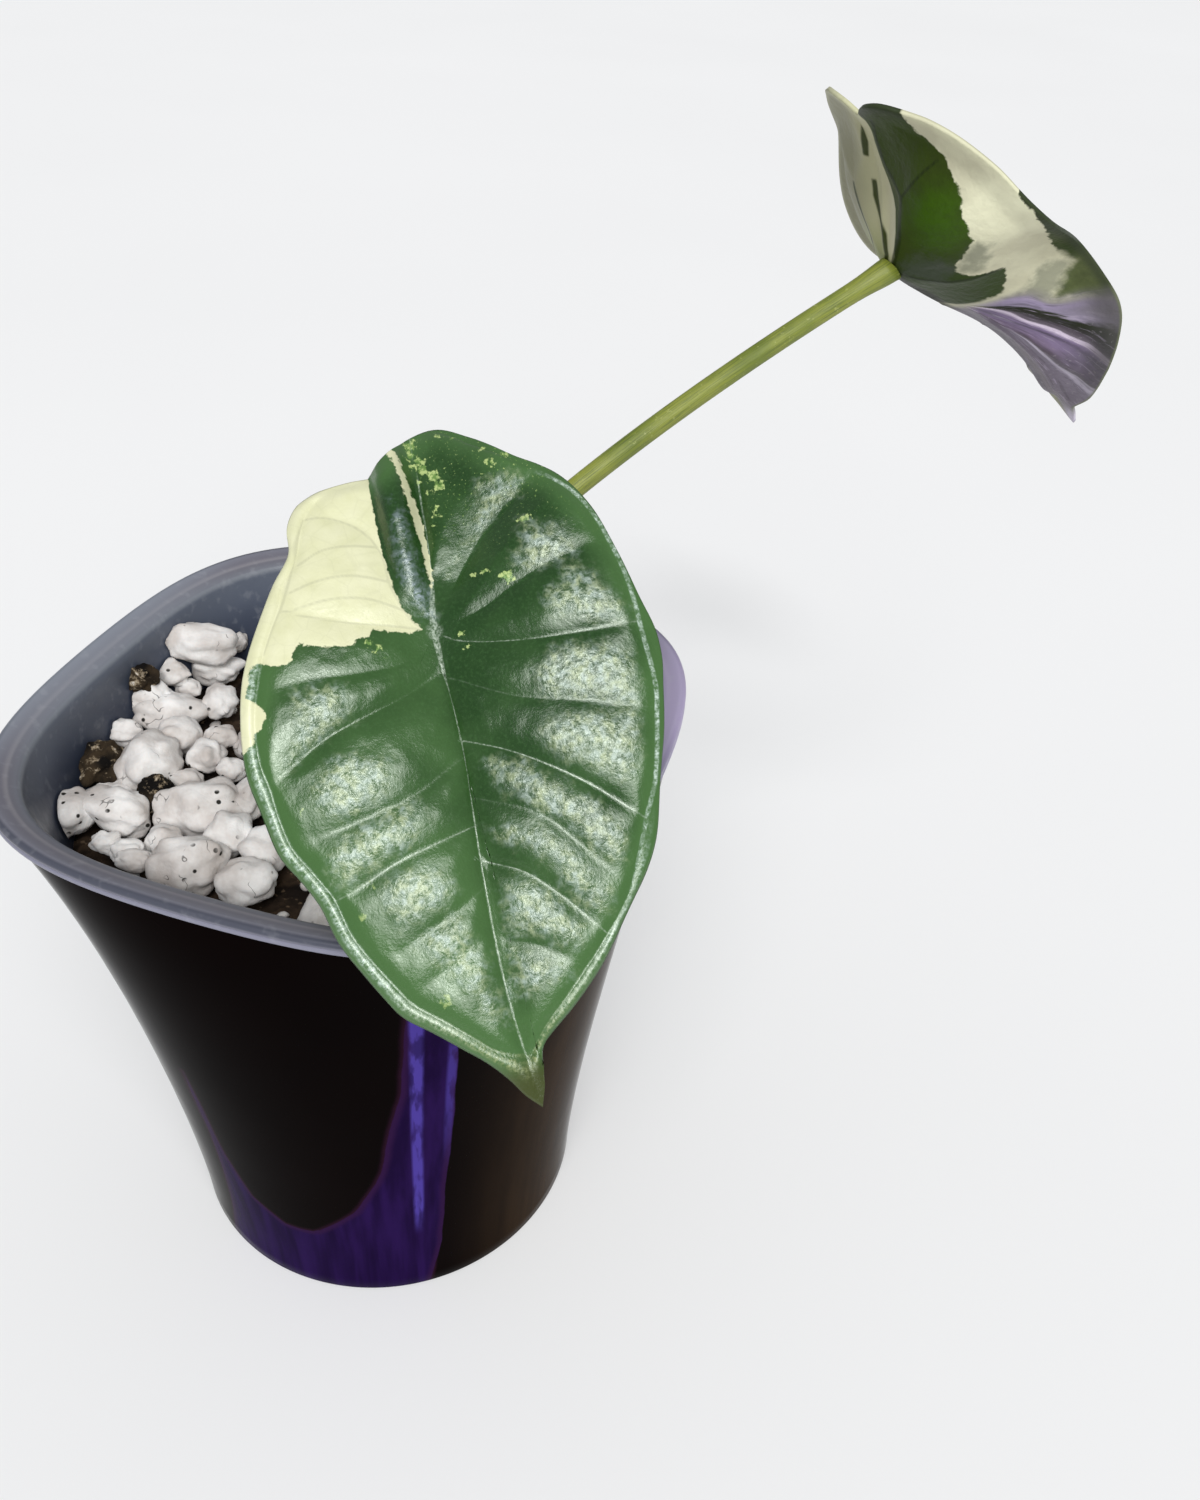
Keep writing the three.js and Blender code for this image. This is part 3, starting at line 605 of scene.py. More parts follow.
def scatterLumps():
    draw = random.Random(substrate["seed"])
    placed = substrate["whiteLumps"] + substrate["darkLumps"]
    scattered = []
    crownRoom, crownShare = substrate["offCrown"]
    potRoom, potShare = substrate["offPot"]
    for _ in range(substrate["tries"]):
        if len(scattered) >= substrate["scatter"]:
            break
        angle = draw.uniform(0, 2 * math.pi)
        distance = substrate["lumpSpread"] * math.sqrt(draw.random())
        along = draw.uniform(*substrate["lumpLengths"])
        across = along * draw.uniform(0.65, 0.95)
        height = draw.uniform(*substrate["lumpHeights"])
        lump = (distance * math.cos(angle), distance * math.sin(angle), height, along, across,
                draw.uniform(0, 360))
        if distance < crownRoom + crownShare * along or distance + potShare * along > potRoom:
            continue
        if all(math.hypot(p[0] - lump[0], p[1] - lump[1]) > substrate["packing"] * (along + max(p[3], p[4]))
               for p in placed):
            placed.append(lump)
            scattered.append(lump)
    return scattered


def perlitePaint():
    paint = Paint("perliteFoam")
    coords = paint.coords()
    # tiny black specks, and a few short dark scratches
    specks = coords.cells(360).ramp(0.12, 0.18, 1, 0) * coords.noise(120).ramp(0.5, 0.56)
    scratch = abs(coords.noise(210) - 0.5).ramp(0.004, 0.012, 1, 0) * coords.noise(170).ramp(0.58, 0.64)
    tone = coords.noise(110, 4, 0.6).ramp(0.3, 0.7).mix((0.5, 0.455, 0.425), (0.8, 0.785, 0.77))
    stain = coords.noise(55, 5, 0.65).ramp(0.6, 0.74)
    colour = over(tone, (stain * 0.6, (0.33, 0.26, 0.2)),
                  (most(specks, scratch * 0.7), (0.02, 0.018, 0.015)))
    height = coords.noise(1500, 3, 0.6) + coords.cells(260).ramp(0, 0.35) * 0.6
    return paint.skin(colour, height, 0.35, 0.0004, Roughness=0.9, Specular_IOR_Level=0.25,
                      Subsurface_Weight=0.12, Subsurface_Radius=(0.004, 0.003, 0.0025), Subsurface_Scale=0.3)


def barkPaint():
    paint = Paint("barkAndSoil")
    coords = paint.coords()
    blotch = coords.noise(420, 5, 0.7)
    tone = coords.noise(130, 3).ramp(0.4, 0.6).mix((0.003, 0.002, 0.0015), (0.045, 0.03, 0.016))
    colour = over(tone, (blotch.ramp(0.54, 0.63), (0.3, 0.235, 0.155)),
                  (blotch.ramp(0.62, 0.68), (0.62, 0.57, 0.5)))
    return paint.skin(colour, coords.noise(900, 6, 0.7), 0.9, 0.0008, Roughness=0.95, Specular_IOR_Level=0.2)


def soilPaint():
    paint = Paint("growingMix")
    coords = paint.coords()
    tone = coords.noise(160, 4).ramp(0.35, 0.65).mix((0.012, 0.008, 0.006), (0.05, 0.032, 0.02))
    colour = coords.noise(700, 3).ramp(0.62, 0.72).mix(tone, (0.16, 0.11, 0.07))
    return paint.skin(colour, coords.cells(480), 0.8, 0.0012, Roughness=0.97, Specular_IOR_Level=0.15)


def addSubstrate():
    inset = pots["potWall"] + pots["clearance"] + pots["linerWall"] + substrate["mixRoom"]
    level, waveHeight, scale, seed = substrate["topWaves"]
    bm = bmesh.new()
    loops = [wallLoop(substrate["mixFloor"], inset + 2)]
    loops += [wallLoop(z, inset) for z in substrate["mixRings"]]
    for share in substrate["topShares"]:
        loops.append(lambda a, s=share: (
            (wallRadius(a, substrate["mixTop"]) - inset) * s,
            level + waveHeight * noise.noise(Vector((scale * s * math.cos(a), scale * s * math.sin(a),
                                                     seed)))))
    raiseWall(bm, loops, 128)
    newPiece("growingMix", bm, [soilPaint()], ["growing_mix"])

    bm = bmesh.new()
    for index, lump in enumerate(substrate["darkLumps"]):
        addLump(bm, lump, 5, 40 + index, 1.5)
    newPiece("barkLumps", bm, [barkPaint()], ())

    draw = random.Random(substrate["seed"] + 5)
    bm = bmesh.new()
    for index, lump in enumerate(substrate["whiteLumps"] + scatterLumps()):
        addLump(bm, lump, 4, index)
    for index in range(substrate["crumbs"]):
        angle = draw.uniform(0, 2 * math.pi)
        distance = draw.uniform(*substrate["crumbSpread"])
        size = draw.uniform(*substrate["crumbLengths"])
        height = draw.uniform(*substrate["crumbHeights"])
        addLump(bm, (distance * math.cos(angle), distance * math.sin(angle), height,
                     size, size * draw.uniform(0.6, 0.95), draw.uniform(0, 360)), 2, 200 + index)
    newPiece("perlite", bm, [perlitePaint()], ["perlite"])
    print("substrate ready")


addSubstrate()


# leaf blades
# Places on the flat blade are in millimetres: first toward the tip, then across, from the stalk's seat.
frontLeaf = {
    "thickness": 0.75,
    "rings": 96,
    "marginSteps": 170,
    "seat": (25, -22, 153.1),
    "tip": (0.457, -0.554, -0.696),
    "across": (0.851, 0.5, 0.161),
    "length": 68.2,
    "panelRise": 1,
    "arch": 9,
    "backDroop": 0.0035,
    "dishDepth": (0.3, 4.7),
    "dishWidth": (2, 10),
    "dishTaper": 37,
    "lobeLift": (0.12, 0.02),
    "sideDroop": 0.0026,
    "droop": 0.0012,
    "right": [
        (68.2, 0), (64.5, 1.1), (61.9, 1.2), (60.3, 1.6), (58.9, 2.8), (57.4, 4.7), (55.7, 7),
        (53.3, 9.8), (51, 12.2), (48.3, 14.5), (46.5, 15.9), (42.9, 18.8), (39.3, 21.6), (35.5, 23.7),
        (27.5, 26.1), (21, 28.2), (15.1, 29.5), (11.2, 30.3), (7.2, 30.3), (2, 29.1), (-5.3, 27.7),
        (-13.1, 25.7), (-18.9, 22.5), (-23.4, 17.3), (-29, 11.6), (-32.1, 7.3), (-31.8, 3.3),
        (-30.9, 1.3), (-28.3, -1.3), (-26.7, -3.2), (-25.8, -4.5),
    ],
    "left": [
        (68.2, 0), (66, -1.9), (63.5, -3.4), (60.4, -5.8), (57.8, -8.6), (54.6, -12.1), (51.6, -15.6),
        (48.5, -17.5), (44.7, -19.5), (40.1, -21.7), (34.3, -23.2), (30.6, -24.9), (26.7, -27),
        (20.7, -28.1), (15.8, -28.9), (10.6, -28.7), (3, -27.3), (-0.9, -25.9), (-4.7, -24.1),
        (-11.1, -20.7), (-15.8, -17.7), (-20, -17.4), (-23.1, -15.8), (-24.3, -14.1),
        (-25.3, -11.7), (-25.9, -7), (-25.8, -4.5),
    ],
    "midrib": [(-33.1, 2.9), (-25, 2.5), (-11, 1.6), (0, 0), (16.3, 0.3), (33.3, -0.9), (50.8, -1.4),
               (69.9, 0)],
    # veins: depth of the crease, reach of its slope behind and before it, how pale its line is, the points
    "veins": [
        (1.8, 3.1, 2.2, 0, [(0, 0), (-5.5, 3.7), (-11.9, 9.3), (-19, 18.3), (-20.8, 20.2)]),
        (0.9, 3, 1.7, 0, [(0, 0), (-1.2, 6.5), (-3.6, 12.8), (-5.1, 16.5), (-6, 20), (-7, 26)]),
        (0.3, 1.5, 1.5, 0, [(0, 0), (-13.7, -5.2), (-17.1, -6.5), (-19.9, -10.4), (-21.6, -14.7)]),
        (0.6, 1.5, 1.5, 0.7, [(0, 0), (2.1, 2.8), (4.4, 11), (5.3, 19), (5.7, 27.7)]),
        (0.3, 1.5, 1.5, 0, [(0, 0), (-3.2, -11.3), (-7.2, -20.3)]),
        (0.3, 1.5, 1.5, 0, [(2, -0.5), (4.1, -5.4), (4.4, -10.7), (4.1, -17.3), (4.4, -24)]),
        (0.3, 1.5, 1.5, 0.15, [(6.8, 0), (12.2, 9.2), (14.6, 16.8), (17.9, 26.4)]),
        (1.1, 2.1, 2.2, 0, [(5.8, 0), (8.8, -6.6), (10.8, -12.9), (12.8, -18.5), (16.8, -25.2)]),
        (0.75, 1.5, 1.6, 1, [(16.5, 0.7), (19.4, 6.5), (25.9, 15.5), (32.6, 22.4)]),
        (0.5, 1.4, 1.4, 0.1, [(19, -0.6), (23.2, -9), (24.7, -16.2), (25.7, -21.7)]),
        (0.4, 1.4, 1.4, 0.1, [(24.8, 0.6), (29.1, 8.7), (34.4, 13.1), (39.8, 17)]),
        (0.55, 1.4, 1.4, 0.8, [(28.6, -0.9), (30, -7), (31.2, -12), (33.7, -18.4), (34.2, -20.8)]),
        (0.7, 1.4, 1.5, 1, [(33.3, -0.9), (36.4, 4.9), (40.8, 9.1), (46.7, 13.6)]),
        (0.4, 1.3, 1.3, 0.1, [(36.9, -1.1), (39.4, -5), (41.4, -9.8), (43.2, -14)]),
        (0.4, 1.3, 1.3, 0.1, [(44.2, -1.3), (46.7, 4.6), (50.1, 9)]),
        (0.35, 1.3, 1.3, 0, [(43.7, -1.6), (45, -4.9), (48.6, -12)]),
    ],
    # the collective vein inside the margin, right side then left
    "rimVeins": [
        [(-20.6, 18.7), (-16.3, 23.1), (-11.9, 25.5), (-6.3, 27), (-0.1, 27.9), (6.9, 28.1), (15.7, 28.1),
         (19.9, 27.2), (24, 26.2), (28, 25), (32.5, 22.8), (38.3, 20.2), (42.1, 18.4), (45.9, 15.3),
         (50.7, 10.4), (55.2, 5.4), (57.7, 2.7), (61.1, 0)],
        [(61.1, 0), (59.3, -4.2), (56.4, -7.2), (53.2, -10.6), (50.2, -14), (47.2, -15.8), (43.7, -17.8),
         (39.4, -19.8), (33.8, -21.2), (29.9, -23.1), (26.2, -25.1), (21.4, -26), (18, -26.3), (14.1, -26.9),
         (7.8, -26.4), (2.4, -24.9), (-3.1, -22.7), (-7.1, -20.7), (-10.3, -19.6), (-14.8, -16.9),
         (-18, -15.9), (-21.1, -14.8), (-23.5, -12.9)],
    ],
    "cream": [
        [(-28.7, -4.4), (-25.5, -4.4), (-22.4, -4.7), (-16.8, -4.7), (-14, -4.8), (-8.5, -4.5),
         (-5.8, -4.2), (-4.1, -3.7), (-2.3, -2.8), (-0.4, -1.5), (-0.3, -3.4), (-0.8, -5.5),
         (-1.5, -8.4), (-0.5, -9.6), (-0.6, -11), (0.1, -11.2), (0.2, -12.7), (-0.1, -14.3),
         (-0.4, -16.3), (-1, -17.9), (-1.6, -18.2), (-1.3, -18.7), (-0.1, -19.8), (0.8, -19.9),
         (1.2, -20.6), (1.2, -21.8), (0.9, -22.7), (0.1, -24.1), (0.2, -25.4), (4.7, -27),
         (5.4, -26.1), (6.6, -25.1), (7.7, -24.8), (9.4, -25.8), (9.8, -26.9), (11.6, -27.8),
         (13.2, -31.6), (-7.1, -31.1), (-29.2, -20.8)],
        [(-29.2, -1.3), (-25.4, -0.5), (-21.5, -0.1), (-18, 0.2), (-15.4, 0.4), (-12.1, 0.5),
         (-8.9, 0.6), (-6.3, 0.8), (-9.4, 1.6), (-12.6, 1.5), (-15.9, 1.5), (-18.5, 1.4), (-21.2, 0.9),
         (-24.8, 0.5), (-28.7, 0)],
    ],
    # where the silver skin shows most, between the veins: the leaf's own silver with a painted highlight
    # over it
    "silverHighlight": [
        [(-19.7, 18.9), (-21.1, 16.2), (-21.4, 12.9), (-20.4, 10.3), (-16.2, 8.8), (-13.3, 7.1),
         (-10.7, 4.7), (-7.7, 3), (-7.7, 3.7), (-10.3, 5.9), (-12.7, 9), (-14.9, 12.5), (-17, 15.9)],
        [(-13.1, 15.4), (-12.3, 18.6), (-8.9, 21.6), (-6.3, 22.8), (-4.7, 21), (-4.3, 18), (-5, 14.8),
         (-6.8, 12.5), (-10.1, 13.9)],
        [(-5.1, 20.2), (-4, 22.9), (-1, 24.6), (3.1, 27.4), (5.6, 27.2), (5.1, 23.1), (3.5, 19.4),
         (2.6, 15.9), (-0.6, 15.4), (-2.5, 17.9)],
        [(6.6, 15), (6.5, 18.3), (6.7, 20.7), (7.9, 24.2), (10, 26.2), (14.6, 26.3), (17.8, 25.5),
         (16.5, 21.7), (14.6, 16.8), (13.1, 12.6), (10.3, 11.7), (8.5, 12.5)],
        [(15.5, 13.7), (16.2, 18.5), (17.4, 23.1), (18.5, 25.3), (23.3, 24.6), (27.5, 22.4),
         (26.8, 19.2), (23.9, 16.2), (22.2, 12.6), (19.3, 10.8), (17, 11.3)],
        [(-20.5, -1.8), (-17.8, -0.6), (-13.5, -0.4), (-9.8, -0.5), (-6, 0.3), (-2.2, 0.8), (-1, -0.3),
         (-2.8, -2), (-6.5, -2.9), (-11.1, -2.8), (-14.9, -2.7)],
        [(4.4, -20.7), (4.1, -17.3), (5, -14.3), (7.3, -13.2), (10.3, -14.6), (10.9, -13.9),
         (12.9, -17.9), (14.5, -21.3), (16.7, -24.6), (16.3, -25.7), (12.9, -23), (9.2, -21.4)],
        [(10.9, -11.6), (12.1, -15.7), (13.7, -19.6), (16.1, -23.2), (16.8, -24.2), (15.1, -22.2),
         (12.5, -17.8), (10.9, -13.5)],
        [(15.1, -17.1), (15.8, -13.8), (19, -10.1), (20, -10.3), (18.1, -18.6)],
        [(17, -20.3), (14.9, -17.1), (15, -12.8), (16.9, -9.7), (19.4, -9.4), (22.5, -11.6),
         (24.4, -16), (23.9, -19.8), (21.1, -21.2), (18.7, -21.4)],
        [(24.9, -16.9), (23.1, -11), (23, -7.4), (26.1, -6.5), (29.3, -8.4), (30.7, -12.6),
         (32.8, -17.4), (33.6, -20.4), (30.6, -21.3), (28, -20.7)],
        [(32.2, -13), (31.6, -8.9), (33, -6.1), (35.8, -4.3), (38.5, -6.5), (39.9, -10.7),
         (40.1, -13.2), (37.7, -15), (34.8, -15.5)],
        [(40.3, -9.2), (39.3, -5.1), (43.1, -3.9), (46.6, -2.7), (49.5, -2.6), (53.6, -1.9),
         (56.4, -2.1), (56.2, -4.5), (51.4, -6.2), (48.4, -8.7), (44.5, -11.4), (42.4, -12.1)],
        [(18.9, 1.9), (20.3, 7.3), (25.9, 13.3), (30.7, 18.3), (34.7, 19.9), (38, 18.7), (39.9, 16.2),
         (36.2, 14.2), (32, 11.9), (28.4, 7.1), (25, 4.6)],
        [(29, 1.3), (28.8, 5.4), (31.6, 10), (35.9, 13), (41.4, 15.8), (44.5, 15.1), (44.7, 12.6),
         (40.8, 9.9), (36.5, 8.8), (33.2, 5.2), (31.2, 2)],
        [(36.6, 0.8), (36.6, 4), (38.4, 8), (42.1, 10), (45.3, 11.7), (47.5, 10.8), (48.4, 8.1),
         (46, 4.6), (44.2, 0.2), (40.9, 0.2)],
        [(45.7, -0.1), (47, 3.6), (50, 8.2), (52, 8.1), (52.3, 4), (54.1, 1.6), (52.7, -0.9), (49.5, -1)],
    ],
    # pale mottling: round spots of green and yellow, place and half width
    "flecks": [
        (-30.2, 2.4, 1.2), (-28.4, 2.2, 1.1), (-27.2, 3.4, 0.9), (-25.6, 3.6, 1.1), (-23.9, 4.9, 1),
        (-22.2, 5.4, 1), (-21.2, 3.9, 0.5), (-18.6, 4, 0.6), (-17.4, 4.2, 0.5), (-26.3, 1.8, 0.6),
        (-16, 3.4, 0.4), (-23.6, 2.6, 0.5), (-5.1, 11.8, 1.1), (-6.8, 9, 0.6), (-6.7, 7.3, 0.4),
        (-12.8, 16.2, 0.9), (-30.6, 7, 0.5), (-29.5, 8.9, 0.6), (-26.2, 12.8, 0.5), (-24.2, 15.6, 0.7),
        (-23.4, 13.4, 0.7), (-22, 17, 0.5), (0.4, -9.4, 0.7), (1.4, -8.4, 0.6), (2.8, -7.8, 0.5),
        (1.2, 3.8, 0.5), (3.4, 3.9, 0.4), (51, -9.6, 0.9), (33.4, -16, 0.6), (37.2, -18, 0.7),
        (21.6, -23.2, 0.6), (57.9, 4.4, 0.5),
    ],
    # the cream lobe's own grey-green lines
    "creamLines": [
        [(0, -0.4), (-0.6, -2), (-2, -6.6), (-3.4, -11.9), (-5.5, -17.6), (-7, -20.1)],
        [(-0.4, -0.6), (-1.4, -2.4), (-7.3, -4.7), (-13.5, -5.2), (-17.8, -7.8), (-20.4, -11.9),
         (-20.8, -15.2)],
        [(-20.8, -15.2), (-17.2, -16.7), (-14, -17.4), (-8.8, -19.4), (-5.6, -21.2), (-1, -23.6)],
        [(-14.2, -5.4), (-15, -9.4), (-15, -13.2), (-13.4, -16.7)],
        [(-8.4, -4.8), (-10.2, -9.6), (-10.4, -14), (-9.4, -18.4)],
        [(-3.8, -3.6), (-6.4, -8.6), (-7.2, -13.2), (-6.8, -18.2)],
    ],
    # waves in the skin: height, scale, seed
    "puckers": [(0.11, 0.30, 3.1), (0.06, 0.7, 5.7)],
    "lipHeight": 0.42,
    "turnDown": 0.24,
    "web": {"centre": -1.5, "width": 2.2, "start": -2.5, "slope": 0.21, "reach": 15.0},
    "rimMaterial": 0,
}

backLeaf = {
    "thickness": 0.75,
    "rings": 80,
    "marginSteps": 160,
    "panelRise": 1.4,
    "half": [
        (68, 0), (64, 1.5), (60, 3), (56, 8), (50, 13.5), (43, 19), (35, 24), (27, 27), (18, 29.5),
        (8, 30.5), (-1, 29.8), (-9, 28), (-17, 25), (-23.5, 20.5), (-28.5, 14.5), (-32, 8.5),
        (-31, 3.5), (-28.5, 0),
    ],
    # place on the flat blade, then where it lies in space
    "places": [
        (68, 0, 112.8, 118.7, 146), (52, 0, 104.3, 108.8, 155.1), (34, 0, 94.4, 99.4, 166.7),
        (16, 0, 82.2, 88.7, 175), (0, 0, 71.5, 79.4, 183.2), (-15, 0, 67.6, 76.2, 197.5),
        (-28.5, 0, 62.4, 72.2, 209.2),
        (57, -7, 113, 108.3, 154.8), (46, -16, 113.9, 98, 165.3), (33, -24.5, 112.2, 90.6, 179.3),
        (17, -29.5, 102.4, 84.8, 190.4), (0, -30, 97, 70.8, 196.5), (-16, -25, 86.5, 63.9, 204.6),
        (-28, -15, 73.3, 63.3, 211.1), (-32, -7, 64.5, 65.4, 211.8), (36, -10, 103, 94.1, 167),
        (20, -14, 95.1, 85, 177.8), (4, -13, 84.5, 75.2, 184.4), (-13, -12, 75.9, 67.8, 196.4),
        (57, 7, 104, 117.3, 154.6), (46, 16, 95, 118.6, 165.6), (33, 24.5, 82.6, 117.8, 174.4),
        (17, 29.5, 66.9, 112.6, 175.8), (0, 30, 58.2, 105.8, 187.6), (-16, 25, 56.5, 97.1, 201),
        (-28, 15, 55.2, 84.2, 209.1), (-32, 7, 56.7, 75.6, 211.6), (36, 10, 91.5, 107.8, 168.6),
        (20, 14, 78.1, 101.5, 175.7), (4, 13, 67.2, 92.4, 182.1), (-13, 12, 59.8, 85, 195.2),
    ],
    "midrib": [(-36, 0), (0, 0), (40, 0), (70, 0)],
    "nearVeins": [
        (0.9, 2.6, 2.6, 0, [(0, 0), (-6.2, -4), (-14.5, -6.2), (-19, -2.5), (-24.8, -2), (-28.2, -3.5)]),
        (0.7, 2.6, 2.6, 0, [(-14.5, -6.2), (-17.2, -9.8), (-19, -12.5), (-20.5, -15.5)]),
        (0.3, 2.6, 2.6, 0, [(0, 0), (-1, -14), (-4, -27)]),
        (0.7, 2.6, 2.6, 0, [(0.8, -2.5), (4.2, -9.5), (6.4, -16), (7.6, -18.6)]),
    ],
    "farVeins": [
        (0.9, 2.6, 2.6, 0, [(0, 0), (-6, 3.7), (-14, 7), (-20, 3.8), (-28.5, 4.6)]),
        (0.7, 2.6, 2.6, 0, [(-14, 7), (-17, 10.2), (-20.5, 15), (-24, 19)]),
        (0.4, 2.6, 2.6, 0.4, [(0, 0), (-1, 14), (-4, 27)]),
        (0.5, 2.6, 2.6, 0.5, [(6, 0), (10, 13), (15, 26)]),
        (0.9, 2.6, 2.6, 1, [(15, 0), (20, 13), (27, 24)]),
        (0.9, 2.6, 2.6, 1, [(26, 0), (34, 9), (42, 17)]),
        (0.8, 2.6, 2.6, 1, [(43, 0), (50, 5), (55, 8)]),
    ],
    "green": [
        # beside the stalk, joined to the patch below it
        [(-33, 2), (-35, -8), (-33, -11.8), (-28.5, -12.5), (-25.8, -13), (-24, -14.5),
         (-22.2, -15.8), (-21, -16.8), (-19.5, -17), (-17.5, -17.5), (-15.5, -18.2), (-13, -18.5),
         (-10.5, -17.8), (-8, -18), (-5.8, -18), (-3.8, -17.8), (-2.2, -16.8), (-1.2, -15),
         (0, -13.5), (2.2, -12.2), (4.8, -14.2), (6.2, -17), (8.2, -18.8), (12.2, -17.2),
         (14.5, -14.5), (14.8, -12), (14.8, -9), (14.6, -4), (13, 0.8), (1, 0.8), (-3.2, -2.5),
         (-7.8, -3.5), (-11.8, -3.5), (-15, -2.2), (-18.8, -1), (-23.2, -0.8), (-27.8, -1.5)],
        # the right margin
        [(-12, -32), (-11, -27.3), (-7.2, -28), (-2, -28.5), (1.8, -28.5), (6.8, -27.9), (11, -27),
         (15, -26.6), (18.2, -26.5), (20, -26.6), (21, -24), (22.8, -20.5), (24.2, -18.3),
         (26.5, -20.6), (31, -24.6), (36, -23.5), (40, -27), (33, -34)],
    ],
    "lens": [
        [(-25.6, 2.4), (-24.6, 3), (-22.5, 3.6), (-19.8, 4), (-19.6, 2.8), (-22.4, 2)],
        [(-15.4, 3.3), (-12.6, 3.2), (-9.8, 1.8), (-7, 0.3), (-3.2, 0.1), (-0.8, 1.3), (-0.8, 0.3),
         (-3.2, -1), (-7, -0.7), (-9.8, 0.6), (-12.4, 1.7), (-15.4, 2.2)],
        [(-14.2, 8.3), (-11.2, 7.5), (-8.2, 6.5), (-4.8, 5), (-0.2, 5.9), (-0.2, 5.1), (-4.8, 4.1),
         (-8.2, 5.5), (-11.2, 6.6), (-14.2, 7.6)],
    ],
    "smokySheen": [
        [(-2, -3), (-3.5, -7), (-1.5, -12), (2.2, -12.4), (4.2, -9.5), (2.6, -6), (0.8, -2.5)],
        [(-3.4, -18.5), (-1, -19.5), (2.5, -18.8), (4.8, -15.5), (2.4, -12.8), (-1.2, -15)],
        [(19.4, -26.8), (16.8, -24.5), (15, -21.5), (17, -19), (18, -15.5), (16.6, -13.5), (20, -14),
         (24.5, -18), (22.8, -20.5), (21.2, -24.2)],
    ],
    # thin dark lines: half width, points
    "darkLines": [
        (0.40, [(1.2, 0), (-6.2, -4), (-10.5, -5.2), (-14.5, -6.2)]),
        (0.28, [(-14.5, -6.2), (-16.8, -4.5), (-19, -2.5), (-22.2, -2), (-24.8, -2), (-28.2, -3.5)]),
        (0.12, [(-14.5, -6.2), (-17.2, -9.8), (-19, -12.5), (-20.5, -15.5)]),
        (0.20, [(0.8, -2.5), (2.6, -6), (4.2, -9.5), (5.2, -13), (6.4, -16), (7.6, -18.6)]),
    ],
    # lines that fan out toward the tip; a pleat's number says which two it lies between
    "fan": [
        [(15, -6.5), (16, -13), (19.5, -17), (24.5, -18), (29.5, -25.8)],
        [(15.5, -6.6), (19.2, -11), (22.2, -13.5), (26.5, -15.2), (29.8, -16.5), (36.2, -18.5), (44, -20)],
        [(15.6, -6.2), (18.2, -9.2), (20.8, -10.8), (25.5, -11.8), (29, -13.5), (34.2, -14.8), (47, -18)],
        [(16, -5.5), (21.5, -6.8), (25, -9.2), (29, -11.2), (32.8, -12.8), (36.5, -13.8), (42, -14),
         (51, -15.8)],
        [(16.2, -5), (21.5, -6), (25.2, -6.2), (30.8, -7.8), (36.5, -8.4), (41.8, -8.6), (47.2, -9.8),
         (55, -12)],
        [(16.4, -4.7), (24, -4.6), (31.2, -4.8), (40, -5), (46.8, -4.2), (55.2, -2.4), (64, -3)],
        [(16.5, -4.3), (24.8, -3.6), (30.2, -3), (40.2, -1.2), (48.8, -1), (69, 1.2)],
    ],
    # pleats: number, depth, half width
    "pleats": [(1, 0.55, 0.30), (2.55, 0.45, 0.30), (3.7, 0.55, 0.25), (5, 0.40, 0.30)],
    # how far the outermost edge is drawn in, and between which x it begins
    "drawnIn": (0.12, 113.4, 114.4),
    "rimMaterial": 1,
}

# round the stalk's seat the swelling fades out between these radii, and the blade dips a little
hubFade = (2.0, 9.0)
hubDip = 0.3


def bladeGrid(margin, rings):
    # a bmesh grid: rows run from the seat to the margin, columns round the seat
    around = len(margin)
    bm = bmesh.new()
    bmesh.ops.create_grid(bm, x_segments=rings, y_segments=around, size=1.0)
    u = bm.verts.layers.float.new("u")
    w = bm.verts.layers.float.new("w")
    shares = np.linspace(0.0, 1.0, rings + 1) ** 0.8
    shares[0] = 0.012
    for vert in bm.verts:
        row = round((vert.co.x + 1) / 2 * rings)
        column = round((vert.co.y + 1) / 2 * around) % around
        vert[u], vert[w] = margin[column] * shares[row]
        vert.co = (vert[u] * mm, vert[w] * mm, 0.0)
    bmesh.ops.remove_doubles(bm, verts=bm.verts, dist=1e-7)
    seatEdges = [e for e in bm.edges if e.is_boundary and e.verts[0].co.length < 0.002]
    bmesh.ops.holes_fill(bm, edges=seatEdges, sides=0)
    bmesh.ops.recalc_face_normals(bm, faces=bm.faces)
    return bm


def finishBlade(name, bm, spaceAt, facts, materials, node):
    u, w = (bm.verts.layers.float[key] for key in ("u", "w"))
    space, marks = spaceAt(np.array([(vert[u], vert[w]) for vert in bm.verts]))
    for vert, place in zip(bm.verts, space):
        vert.co = place * mm
    uv = bm.loops.layers.uv.new("flat")
    for face in bm.faces:
        for loop in face.loops:
            loop[uv].uv = (loop.vert[u] / 100, loop.vert[w] / 100)
    piece = newPiece(name, bm, materials, [node])
    for key, values in marks.items():
        addFloat(piece.data, key, values)
    solid = piece.modifiers.new("thickness", "SOLIDIFY")
    solid.thickness = facts["thickness"] * mm
    solid.offset = 0.0
    solid.material_offset = 1
    solid.material_offset_rim = facts["rimMaterial"]


